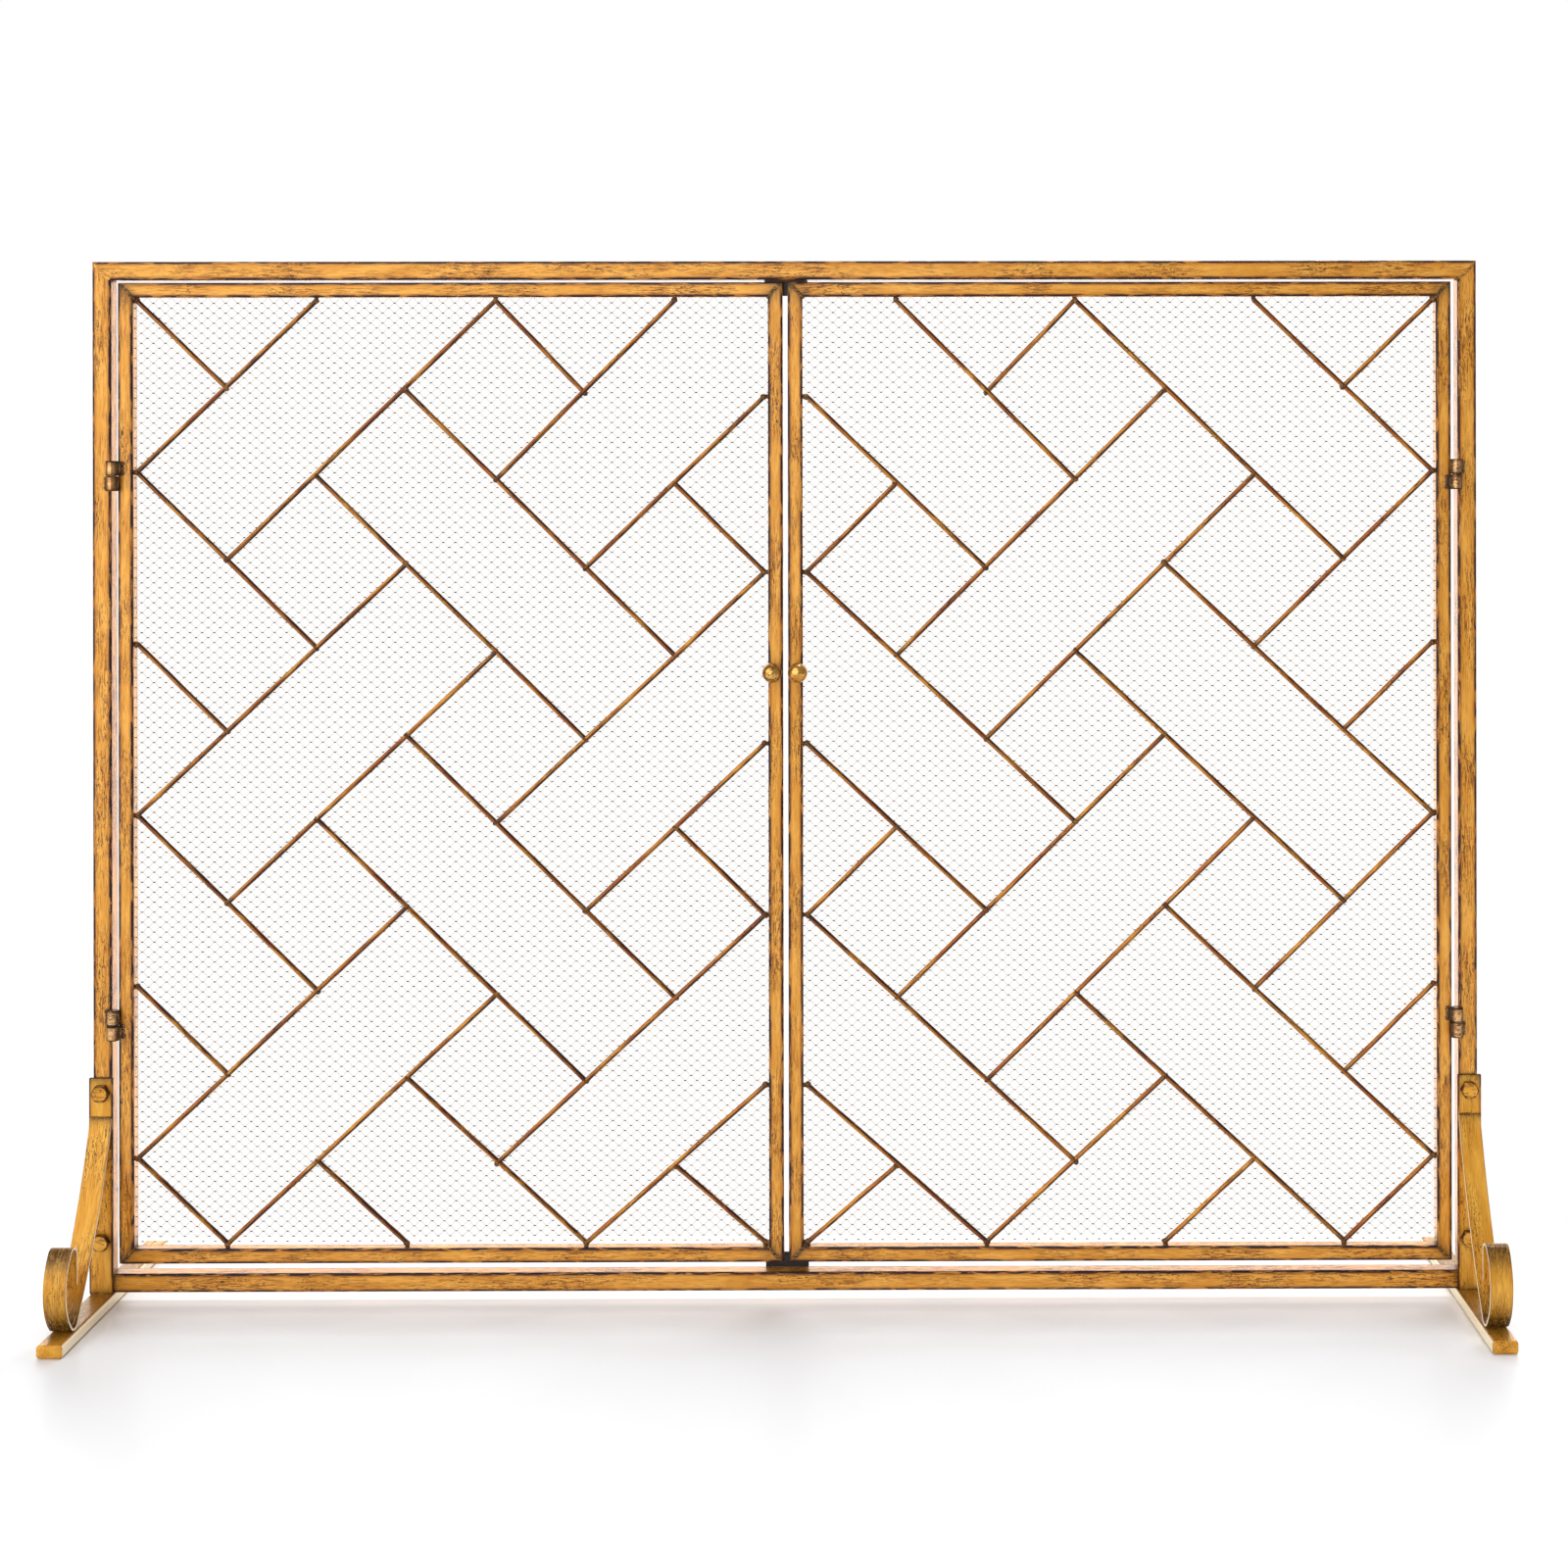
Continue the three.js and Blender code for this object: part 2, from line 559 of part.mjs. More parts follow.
for (const [side, s] of [["left", -1], ["right", 1]]) {
  const door = new THREE.Group();
  screen.add(door);
  const middleDepth = doorFront + DOOR_TUBE / 2;
  const x0 = Math.min(s * doorOuter, s * doorInner);
  const x1 = Math.max(s * doorOuter, s * doorInner);

  for (const [level, z, sz] of [["top", doorTop, -1], ["bottom", doorBottom, 1]]) {
    const rail = levelTube(DOOR_TUBE, x0, x1, middleDepth, z + (sz * DOOR_TUBE) / 2);
    const cuts = [levelMitre(x0, z, 1, sz), levelMitre(x1, z, -1, sz)];
    piece(door, `${side}_door_${level}_rail`, cut(rail, cuts), gold);
  }

  const hingeStileMiddle = s * (doorOuter - DOOR_TUBE / 2);
  const hingeStile = uprightTube(DOOR_TUBE, hingeStileMiddle, middleDepth, doorBottom, doorTop);
  const hingeCuts = [
    uprightMitre(s * doorOuter, doorTop, -s, -1),
    uprightMitre(s * doorOuter, doorBottom, -s, 1),
  ];
  piece(door, `${side}_door_hinge_stile`, cut(hingeStile, hingeCuts), gold);

  const meetingMiddle = s * (doorInner + DOOR_TUBE / 2);
  const meetingStile = uprightTube(DOOR_TUBE, meetingMiddle, middleDepth, doorBottom, doorTop);
  const knobX = s * KNOB_FROM_MIDDLE;
  const screwHole = KNOB_SCREW_RADIUS + KNOB_SCREW_CLEARANCE;
  const meetingCuts = [
    uprightMitre(s * doorInner, doorTop, s, -1),
    uprightMitre(s * doorInner, doorBottom, s, 1),
    barAlongY(screwHole, knobX, doorFront - 1, doorBack + 1, knobHeight),
  ];
  piece(door, `${side}_door_meeting_stile`, cut(meetingStile, meetingCuts), gold);

  const panel = box(
    x0 + DOOR_TUBE,
    x1 - DOOR_TUBE,
    doorFront + MESH_DEPTH - MESH_THICKNESS / 2,
    doorFront + MESH_DEPTH + MESH_THICKNESS / 2,
    doorBottom + DOOR_TUBE,
    doorTop - DOOR_TUBE,
  );
  piece(door, `${side}_door_mesh_panel`, panel, meshGold);
  piece(door, `${side}_door_lattice`, lattice(s), rodGold);

  const ball = piece(door, `${side}_door_knob`, knob(), knobGold);
  ball.position.set(knobX, doorFront, knobHeight);
  const screwHead = barAlongY(SCREW_HEAD_RADIUS, 0, doorBack, doorBack + SCREW_HEAD_HEIGHT, 0);
  const screwShank = barAlongY(KNOB_SCREW_RADIUS, 0, doorFront - KNOB_SCREW_REACH, doorBack + 1, 0);
  const screw = piece(door, `${side}_door_knob_screw`, join([screwHead, screwShank]), zinc);
  screw.position.set(knobX, 0, knobHeight);

  for (const level of ["upper", "lower"]) {
    const middle = hingeHeights[level];
    const above = middle + KNUCKLE_GAP / 2;
    const below = middle - KNUCKLE_GAP / 2 - KNUCKLE_LENGTH;
    const doorOnTop = doorAbove[side][level];
    const doorKnuckle = piece(door, `${side}_${level}_door_knuckle`, knuckle(-s, doorFront), darkGold);
    doorKnuckle.position.set(s * hingeAxis, hingeDepth, doorOnTop ? above : below);
    const postKnuckle = piece(screen, `${side}_${level}_post_knuckle`, knuckle(s, frameFront), darkGold);
    postKnuckle.position.set(s * hingeAxis, hingeDepth, doorOnTop ? below : above);
    const reach = 2 * KNUCKLE_LENGTH + KNUCKLE_GAP;
    const pinBody = new THREE.CylinderGeometry(HINGE_PIN_RADIUS, HINGE_PIN_RADIUS, reach, 20);
    pinBody.rotateX(Math.PI / 2);
    const pin = piece(screen, `${side}_${level}_hinge_pin`, pinBody, darkGold);
    pin.position.set(s * hingeAxis, hingeDepth, middle);
  }
}

export default screen;
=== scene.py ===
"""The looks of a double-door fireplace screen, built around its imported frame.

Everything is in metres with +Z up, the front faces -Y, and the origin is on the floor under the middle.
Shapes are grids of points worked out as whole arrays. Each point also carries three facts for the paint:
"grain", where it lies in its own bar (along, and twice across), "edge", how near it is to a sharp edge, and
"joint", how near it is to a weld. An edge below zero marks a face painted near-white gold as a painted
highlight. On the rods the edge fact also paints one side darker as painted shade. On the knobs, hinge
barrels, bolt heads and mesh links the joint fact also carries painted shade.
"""

import math

import bpy
import numpy as np
from mathutils import Matrix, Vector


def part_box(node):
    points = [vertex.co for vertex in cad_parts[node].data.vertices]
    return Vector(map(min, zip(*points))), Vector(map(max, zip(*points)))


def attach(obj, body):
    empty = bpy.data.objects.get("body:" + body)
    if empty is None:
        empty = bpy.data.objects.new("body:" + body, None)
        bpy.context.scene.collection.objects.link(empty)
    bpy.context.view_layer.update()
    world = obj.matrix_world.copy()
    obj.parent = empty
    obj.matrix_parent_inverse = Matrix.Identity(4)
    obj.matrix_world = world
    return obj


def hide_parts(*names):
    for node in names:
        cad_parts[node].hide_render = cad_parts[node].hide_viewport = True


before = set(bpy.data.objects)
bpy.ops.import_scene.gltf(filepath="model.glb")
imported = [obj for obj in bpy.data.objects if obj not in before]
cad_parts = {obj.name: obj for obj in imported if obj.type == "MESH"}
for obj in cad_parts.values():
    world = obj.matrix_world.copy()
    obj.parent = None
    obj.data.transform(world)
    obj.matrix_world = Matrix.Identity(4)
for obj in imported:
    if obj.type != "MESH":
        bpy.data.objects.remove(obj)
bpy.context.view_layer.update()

MM = 0.001

# ---------------------------------------------------------------------------------------------- sizes

TUBE_WALL = 1.0 * MM
TUBE_CORNER = 1.5 * MM
ROD_RADIUS = 2.0 * MM
STUB_RADIUS = 1.7 * MM
STRIP_THICKNESS = 2.0 * MM
STRIP_LEAD = 1.2 * MM
STRIP_TAIL = 26.0 * MM
# radius in millimetres and turn in degrees of the brace's five bends, from the top down
STRIP_BENDS = ((30.3, 21.0), (500.0, 16.6), (7.6, 96.7), (41.8, 87.3), (7.2, 138.6))

GRID_COLUMNS = 7
GRID_ROWS = 11
GRID_INSET_HINGE_SIDE = 2.3 * MM
GRID_INSET_MEETING_SIDE = 3.1 * MM
GRID_INSET_TOP = 2.3 * MM
GRID_INSET_BOTTOM = 3.1 * MM
GRID_SAG_PER_COLUMN = 1.75 * MM
LEAN_OFFSET = 0.3 * MM

WIRE_RADIUS = 0.2 * MM
WIRE_PITCH_ACROSS = 9.8 * MM
WIRE_PITCH_DOWN = 4.05 * MM
WIRE_LINK = 0.6 * MM  # half the length of the level run at a bend
WIRE_TAPER = 0.4 * MM
WIRE_THIN = 0.62  # shares of the wire radius that show along the strands and at the links
WIRE_THICK = 1.5

BACKDROP_SIZE = (9.0, 7.0)
BACKDROP_PLACE = (0.0, 4.5, 1.0)
BACKDROP_WATTS = 400.0
FLOOR_CORNERS = ((-3.0, -2.5), (3.0, -2.5), (3.0, 0.16), (-3.0, 0.16))
FLOOR_DROP = 0.0003
SURROUNDINGS_GLOW = 0.36

CAMERA_PLACE = (0.1009, -1.8078, 0.6482)
CAMERA_LENS_MM = 51.15
CAMERA_SHIFT = (-0.0867, -0.1807)
CAMERA_PAN = math.radians(-0.251)
CAMERA_ROLL = math.radians(-0.089)

SIDES = (("left", -1), ("right", 1))


# ------------------------------------------------------------------------------------------- surfaces

def coat(points, grain=None, edge=0.0, joint=0.0):
    """Joins points with their paint facts into one array, whose last axis holds place, grain, edge and joint.
    An edge below zero marks a face painted near-white gold, a painted highlight for the light that falls on
    it."""
    facts = np.empty(points.shape[:-1] + (8,))
    facts[..., :3] = points
    facts[..., 3:6] = points if grain is None else grain
    facts[..., 6] = edge
    facts[..., 7] = joint
    return facts


def skin(facts, ends="flat"):
    """Closed surface over a grid (..., rings, sides, 8): quads join each ring to the next, and a ring
    closes on itself. ends is flat (one face across each end ring), pole (a fan to each end ring's middle)
    or loop (the last ring joins the first). Leading axes are separate copies. Returns the points' facts and
    the faces."""
    rings, sides = facts.shape[-3:-1]
    copies = facts.reshape(-1, rings, sides, 8)
    ring = np.arange(rings if ends == "loop" else rings - 1)[:, None]
    side = np.arange(sides)[None, :]
    following = (side + 1) % sides
    upper = (ring + 1) % rings
    corners = (ring * sides + side, ring * sides + following, upper * sides + following, upper * sides + side)
    faces = [np.stack(corners, -1).reshape(-1, 4)]
    table = copies.reshape(len(copies), -1, 8)
    last = (rings - 1) * sides
    around = np.arange(sides)
    if ends == "flat":
        faces.append(np.stack([around[::-1], last + around]))
    if ends == "pole":
        table = np.concatenate([table, copies[:, :1].mean(2), copies[:, -1:].mean(2)], 1)
        first_pole = np.full(sides, rings * sides)
        faces.append(np.stack([np.roll(around, -1), around, first_pole], -1))
        faces.append(np.stack([last + around, last + np.roll(around, -1), first_pole + 1], -1))
    if volume(table[0, :, :3], faces) < 0:
        faces = [one[:, ::-1] for one in faces]
    start = (np.arange(len(table)) * table.shape[1])[:, None, None]
    return table.reshape(-1, 8), [(one[None] + start).reshape(-1, one.shape[1]) for one in faces]


def volume(points, faces):
    """Signed volume inside faces, as the sum of the tetrahedra that each face's fan makes with the origin."""
    total = 0.0
    for one in faces:
        a = points[one[:, :1]]
        b = points[one[:, 1:-1]]
        c = points[one[:, 2:]]
        total += np.einsum("ijk,ijk->", np.broadcast_to(a, b.shape), np.cross(b, c)) / 6
    return total


def make(name, skins, material, body, slot, *nodes):
    """Puts skins into one mesh object that rides on body and stands for the CAD nodes named."""
    facts = np.concatenate([points for points, _ in skins])
    starts = np.cumsum([0] + [len(points) for points, _ in skins[:-1]])
    faces = [one + start for (_, several), start in zip(skins, starts) for one in several]
    loops = np.concatenate([one.ravel() for one in faces])
    sizes = np.concatenate([np.full(len(one), one.shape[1]) for one in faces])
    mesh = bpy.data.meshes.new(name)
    mesh.vertices.add(len(facts))
    mesh.vertices.foreach_set("co", facts[:, :3].astype(np.float32).ravel())
    mesh.loops.add(len(loops))
    mesh.loops.foreach_set("vertex_index", loops.astype(np.int32))
    mesh.polygons.add(len(sizes))
    mesh.polygons.foreach_set("loop_start", np.concatenate([[0], np.cumsum(sizes)[:-1]]).astype(np.int32))
    mesh.update(calc_edges=True)
    mesh.shade_smooth()
    mesh.set_sharp_from_angle(angle=math.radians(38))
    grain = mesh.attributes.new("grain", "FLOAT_VECTOR", "POINT")
    grain.data.foreach_set("vector", facts[:, 3:6].astype(np.float32).ravel())
    for column, fact in ((6, "edge"), (7, "joint")):
        values = mesh.attributes.new(fact, "FLOAT", "POINT")
        values.data.foreach_set("value", np.ascontiguousarray(facts[:, column], np.float32))
    mesh.materials.append(material)
    made = bpy.data.objects.new(name, mesh)
    bpy.context.scene.collection.objects.link(made)
    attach(made, body)
    if nodes:
        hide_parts(*nodes)
    return made


def place(node):
    """Lowest and highest corner of a CAD node, as arrays."""
    low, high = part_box(node)
    return np.array(low), np.array(high)


def rounded_rectangle(width, depth, radius, inset=0.0):
    """Points round a rectangle, all moved in by inset, and how near each lies to a corner. Quarter circles
    make the corners, and each flat has points close to its ends and across its middle."""
    half = np.array([width, depth]) / 2 - radius
    turn = np.radians(np.linspace(0, 90, 6))
    arc = np.stack([np.cos(turn), np.sin(turn)], -1) * (radius - min(inset, 0.7 * radius))
    shrink = max(inset - 0.7 * radius, 0.0)
    points = []
    edges = []
    for quarter in range(4):
        spin = math.radians(90 * quarter)
        matrix = np.array([[math.cos(spin), math.sin(spin)], [-math.sin(spin), math.cos(spin)]])
        corner = (half - shrink) * np.array([(1, 1), (-1, 1), (-1, -1), (1, -1)][quarter])
        following = (half - shrink) * np.array([(-1, 1), (-1, -1), (1, -1), (1, 1)][quarter])
        bend = corner + arc @ matrix
        length = np.linalg.norm(following - corner)
        near = min(0.15 * MM, length / 8)
        steps = length * np.array([near / length, 0.08, 0.2, 0.35, 0.5, 0.65, 0.8, 0.92])
        steps = np.append(steps, length - near)
        flat = bend[-1] + (following - corner) / length * steps[:, None]
        points += [bend, flat]
        distance = np.minimum(steps, length - steps)
        edges += [np.ones(len(bend)), 0.8 * np.exp(-distance / (1.6 * MM))]
    return np.concatenate(points), np.concatenate(edges)


def near_ends(length, reach=6 * MM):
    """Positions from 0 to length, close together at both ends, and how near each lies to an end."""
    start = np.array([0, 0.6, 1.5, 3, 5, 8, 12, 18, 28]) * MM
    start = start[start < length / 3]
    middle = np.linspace(start[-1], length - start[-1], max(3, int(length / (40 * MM))))[1:-1]
    along = np.concatenate([start, middle, (length - start)[::-1]])
    return along, np.exp(-np.minimum(along, length - along) / reach)


def square_tube(node, along, outer=0, mitres=(0, 0), pooled=1.0):
    """Hollow square tube in a CAD node's box, running on axis along. A mitred end leans at 45 degrees: the
    tube is longest on its outer side, which is +1 or -1 on the cross axis. Each ring keeps its share of the
    way from one end's slope to the other's, outside and then back inside the wall, so that the skin closes
    as a loop."""
    low, high = place(node)
    cross = 2 - along
    size = high[1] - low[1]
    length = high[along] - low[along]
    middle = (low[cross] + high[cross]) / 2
    stations, joint = near_ends(length)
    outside, edge = rounded_rectangle(size, size, TUBE_CORNER)
    bore = size - 2 * TUBE_WALL
    inside, _ = rounded_rectangle(bore, bore, TUBE_CORNER - TUBE_WALL)
    share = np.append(stations / length, [1.0, 0.0])
    section = np.stack([outside] * len(stations) + [inside] * 2)
    depth_in = size / 2 - outer * section[..., 0]
    first = mitres[0] * depth_in
    end = length - mitres[1] * depth_in
    distance = first + (end - first) * share[:, None]
    points = np.empty(section.shape[:2] + (3,))
    points[..., along] = low[along] + distance
    points[..., cross] = middle + section[..., 0]
    points[..., 1] = (low[1] + high[1]) / 2 + section[..., 1]
    seed = 3.1 * sum(map(ord, node))
    grain = np.stack([distance + seed, section[..., 0], section[..., 1]], -1)
    near = np.append(joint, [1.0, 1.0])[:, None] * pooled
    return skin(coat(points, grain, edge[None], near), "loop")


def flat_bar(low, high, along, corner, bevel=0.4 * MM, seed=0.0, joint_reach=6 * MM, painted_light_sides=False):
    """Solid bar between two corners, with a rounded section carried along one axis and bevelled ends. On a
    bar asked for lit sides, the two upright sides are painted near-white gold as a painted highlight for the
    light that falls on them, and glaze lies on the top, thinning towards both ends."""
    low = np.array(low, float)
    high = np.array(high, float)
    one, two = [axis for axis in range(3) if axis != along]
    length = high[along] - low[along]
    stations, joint = near_ends(length, joint_reach)
    inner = stations[(stations > bevel) & (stations < length - bevel)]
    stations = np.concatenate([[0, bevel * 0.35, bevel], inner])
    stations = np.append(stations, [length - bevel, length - bevel * 0.35, length])
    joint = np.exp(-np.minimum(stations, length - stations) / joint_reach)
    insets = np.zeros(len(stations))
    insets[[0, -1]] = bevel
    insets[[1, -2]] = bevel * 0.35
    rings = [rounded_rectangle(high[one] - low[one], high[two] - low[two], corner, inset) for inset in insets]
    section = np.stack([ring for ring, _ in rings])
    edge = np.stack([near for _, near in rings])
    edge[[0, 1, -2, -1]] = 1.0
    if painted_light_sides:
        # Painted highlight: the two upright sides get an edge below zero, which paints them near-white gold
        # for the light that falls on them.
        on_side = np.abs(section[..., 0]) > (high[one] - low[one]) / 2 - corner * 0.35
        edge = np.where(on_side, -1.0, 0.4 * edge)
        edge[[0, 1, -2, -1]] = 0.15
        on_top = section[..., 1] > (high[two] - low[two]) / 2 - corner * 0.35
        inward = np.minimum(stations, length - stations) / (14 * MM)
        joint = 0.62 * on_top * np.clip(inward - 0.5, 0, 1)[:, None]
    else:
        joint = joint[:, None]
    points = np.empty(section.shape[:2] + (3,))
    points[..., along] = (low[along] + stations)[:, None]
    points[..., one] = (low[one] + high[one]) / 2 + section[..., 0]
    points[..., two] = (low[two] + high[two]) / 2 + section[..., 1]
    far = np.broadcast_to(stations[:, None] + seed, section.shape[:2])
    grain = np.stack([far, section[..., 0], section[..., 1]], -1)
    return skin(coat(points, grain, edge, joint))


def turned(profile, centre, axis, sides, ends="pole", edge=0.0, joint=0.0):
    """Lathe form: a profile of (radius, distance along the axis) spun round an axis through centre. edge
    and joint may differ from one profile point to the next, or round the axis."""
    profile = np.array(profile, float)
    angle = np.linspace(0, 2 * math.pi, sides, endpoint=False)
    one, two = [other for other in range(3) if other != axis]
    points = np.empty((len(profile), sides, 3))
    points[..., axis] = centre[axis] + profile[:, 1, None]
    points[..., one] = centre[one] + profile[:, 0, None] * np.cos(angle)
    points[..., two] = centre[two] + profile[:, 0, None] * np.sin(angle)
    grain = points + sum(centre) * 7
    return skin(coat(points, grain, edge, joint), ends)


def lumps(centres, radii, seed=0):
    """Weld lumps: at each centre a ball squashed to its three radii, swollen and sunk by slow waves."""
    centres = np.atleast_2d(centres)[:, None, None]
    radii = np.broadcast_to(np.atleast_2d(radii), centres.shape[:1] + (3,))[:, None, None]
    down = np.linspace(0.12, math.pi - 0.12, 9)[:, None]
    round_ = np.linspace(0, 2 * math.pi, 14, endpoint=False)[None, :]
    shift = np.random.default_rng(seed).uniform(0, 6.28, (len(centres), 4))[:, :, None, None]
    wave = 1 + 0.10 * np.sin(3 * round_ + shift[:, 0]) * np.sin(down)
    wave = wave + 0.08 * np.sin(2 * round_ + 3 * down + shift[:, 1]) * np.sin(down)
    wave = wave + 0.05 * np.sin(5 * down + shift[:, 2])
    ball = np.stack(
        [np.sin(down) * np.cos(round_), np.sin(down) * np.sin(round_), np.cos(down) + 0 * round_], -1
    )
    points = centres + radii * ball * wave[..., None]
    return skin(coat(points, None, 0.25, 0.9), "pole")


def bead(start, end, radii, seed=0, bow=0.0, dirt=0.9):
    """Weld bead: an ellipse carried from start to end, bowed sideways by bow, whose size ripples along its
    length and tapers at both ends. radii are its half width in the plane of the frame and its half height,
    and dirt is how much glaze it took."""
    start = np.array(start, float)
    end = np.array(end, float)
    length = np.linalg.norm(end - start)
    share = np.linspace(0, 1, max(10, int(length / (0.35 * MM))))
    forward = (end - start) / length
    out = np.array([0.0, -1.0, 0.0]) if abs(forward[1]) < 0.9 else np.array([1.0, 0.0, 0.0])
    side = np.cross(forward, out)
    shift = np.random.default_rng(seed).uniform(0, 6.28, 3)
    ripple = 1 + 0.10 * np.sin(2 * math.pi * share * length / (1.7 * MM) + shift[0])
    ripple = ripple + 0.08 * np.sin(2 * math.pi * share * length / (3.9 * MM) + shift[1])
    taper = np.clip(np.minimum(share, 1 - share) * length / (1.2 * MM), 0.05, 1) ** 0.5
    swell = (ripple * taper)[:, None, None]
    angle = np.linspace(0, 2 * math.pi, 12, endpoint=False)[None, :, None]
    bend = bow * np.sin(math.pi * share) + 0.12 * MM * np.sin(9 * share + shift[2])
    path = start + forward * (share * length)[:, None] + side * bend[:, None]
    points = path[:, None] + swell * (side * radii[0] * np.cos(angle) + out * radii[1] * np.sin(angle))
    return skin(coat(points, None, 0.2 * dirt, dirt), "pole")


# ------------------------------------------------------------------------------------------ materials

# Near-white gold that stands in for light falling on some faces: a painted highlight
PAINTED_LIGHT_GOLD = "#FFF0CE"
STREAK_STRENGTH = 0.9
FLECK_STRENGTH = 0.9
GLAZE_COVER = 0.94
GLAZE_ROUGHNESS = 0.6
MIX_OUT = 2  # the Mix node's colour result


def linear(code):
    """Linear colour of an sRGB hex code."""
    parts = [int(code[i : i + 2], 16) / 255 for i in (1, 3, 5)]
    return [part / 12.92 if part <= 0.04045 else ((part + 0.055) / 1.055) ** 2.4 for part in parts] + [1.0]


def add(tree, kind, inputs=None, **settings):
    """Adds one node with its settings. inputs gives its sockets, by name or number, a value or an output."""
    made = tree.nodes.new(kind)
    for key, value in settings.items():
        setattr(made, key, value)
    for key, value in (inputs or {}).items():
        socket = made.inputs[key]
        if isinstance(value, bpy.types.NodeSocket):
            tree.links.new(value, socket)
        else:
            socket.default_value = value
    return made


def blank(name):
    """New node material with only its output; returns it with its node tree."""
    material = bpy.data.materials.new(name)
    material.use_nodes = True
    material.node_tree.nodes.clear()
    return material, material.node_tree


def fact(tree, name):
    """One of the paint facts that each point carries."""
    return add(tree, "ShaderNodeAttribute", attribute_name=name).outputs["Fac"]


def noise(tree, grain, along_mm, across_mm, detail, distortion=0.0, shift=0.0):
    """Noise whose features are so long and so wide on the bar."""
    stretch = (1000 / along_mm, 1000 / across_mm, 1000 / across_mm)
    inputs = {0: grain, 1: stretch, 2: (shift, shift, shift)}
    scaled = add(tree, "ShaderNodeVectorMath", inputs, operation="MULTIPLY_ADD").outputs[0]
    inputs = {"Vector": scaled, "Scale": 1.0, "Detail": detail, "Distortion": distortion}
    return add(tree, "ShaderNodeTexNoise", inputs).outputs["Fac"]


def ramp(tree, value, low, high, first=0.0, last=1.0, curve="SMOOTHSTEP"):
    """Value turned from the range low to high into the range first to last."""
    inputs = {"Value": value, "From Min": low, "From Max": high, "To Min": first, "To Max": last}
    return add(tree, "ShaderNodeMapRange", inputs, interpolation_type=curve).outputs["Result"]


def both(tree, operation, one, two):
    """Two values put together."""
    return add(tree, "ShaderNodeMath", {0: one, 1: two}, operation=operation).outputs[0]


def mix(tree, factor, one, two):
    """The second colour laid over the first as far as factor says."""
    inputs = {0: factor, 6: one, 7: two}
    return add(tree, "ShaderNodeMix", inputs, data_type="RGBA").outputs[MIX_OUT]


def surface(tree, inputs):
    """Gives the material its surface."""
    shader = add(tree, "ShaderNodeBsdfPrincipled", inputs)
    add(tree, "ShaderNodeOutputMaterial", {"Surface": shader.outputs[0]})


def streaked_gold(name, light, body, brown, dark, amount, gloss=0.36, metal=0.3, coat_weight=0.25):
    """Steel painted gold, then wiped with dark glaze along its length, as an antique finish is: soft light
    and deep bands, thin brown streaks under 1 mm wide, a near-black line along sharp edges with a brown
    fringe beside it, dark flecks in worn stretches and dark pools round the welds. amount is how much glaze
    stayed. The glaze is duller than the gold and hides its metal."""
    material, tree = blank(name)
    grain = add(tree, "ShaderNodeAttribute", attribute_name="grain").outputs["Vector"]
    edge = fact(tree, "edge")
    bands = noise(tree, grain, 38, 7, 3)
    patches = noise(tree, grain, 70, 40, 2, shift=11)
    streaks = noise(tree, grain, 9, 0.8, 6, 0.5, shift=5)
    flecks = noise(tree, grain, 4.5, 1.1, 4, 1.5, shift=23)
    lines = noise(tree, grain, 16, 2.5, 4, 0.6, shift=37)

    thin = both(tree, "MULTIPLY", ramp(tree, streaks, 0.47, 0.62), ramp(tree, patches, 0.36, 0.62, 0.3))
    thin = both(tree, "MULTIPLY", thin, STREAK_STRENGTH * amount)
    fringe = both(tree, "MULTIPLY", ramp(tree, edge, 0.12, 0.75), ramp(tree, lines, 0.30, 0.60, 0.35))
    worn_flecks = both(tree, "MULTIPLY", ramp(tree, flecks, 0.56, 0.62), ramp(tree, patches, 0.42, 0.58))
    # The edge fact also carries painted shade here: one side of each rod and the bolt heads' chamfers.
    edge_line_and_shade = both(tree, "MULTIPLY", ramp(tree, edge, 0.72, 0.92), ramp(tree, lines, 0.42, 0.50, 0.1))
    # The joint fact carries the weld pools and also painted shade: on the knobs, hinge barrels and bolt heads
    # it lays the dark colour where shade falls.
    weld_pool_and_shade = both(tree, "MULTIPLY", fact(tree, "joint"), ramp(tree, flecks, 0.38, 0.52, 0.5))
    glaze = both(tree, "MAXIMUM", both(tree, "MULTIPLY", worn_flecks, FLECK_STRENGTH), edge_line_and_shade)
    glaze = both(tree, "MAXIMUM", glaze, weld_pool_and_shade)

    colour = mix(tree, ramp(tree, bands, 0.36, 0.66), linear(body), linear(light))
    colour = mix(tree, both(tree, "MAXIMUM", thin, fringe), colour, linear(brown))
    colour = mix(tree, both(tree, "MULTIPLY", glaze, GLAZE_COVER), colour, linear(dark))
    # Painted highlight: faces marked below zero on the edge fact take near-white gold, standing in for the
    # light that falls on them.
    colour = mix(tree, ramp(tree, edge, -0.1, -0.7), colour, linear(PAINTED_LIGHT_GOLD))

    duller = both(tree, "MULTIPLY", glaze, GLAZE_ROUGHNESS)
    rough = both(tree, "MAXIMUM", ramp(tree, streaks, 0.35, 0.75, gloss - 0.06, gloss + 0.14), duller)
    bare = both(tree, "MULTIPLY", metal, both(tree, "SUBTRACT", 1.0, glaze))
    raised = both(tree, "MULTIPLY", streaks, 0.5)
    height = both(tree, "SUBTRACT", raised, both(tree, "MULTIPLY", glaze, 0.5))
    bump = add(tree, "ShaderNodeBump", {"Height": height, "Strength": 0.35, "Distance": 0.12 * MM})
    inputs = {"Base Color": colour, "Metallic": bare, "Roughness": rough, "Coat Weight": coat_weight}
    inputs |= {"Coat Roughness": 0.12, "Specular IOR Level": 0.25, "Normal": bump.outputs["Normal"]}
    surface(tree, inputs)
    return material


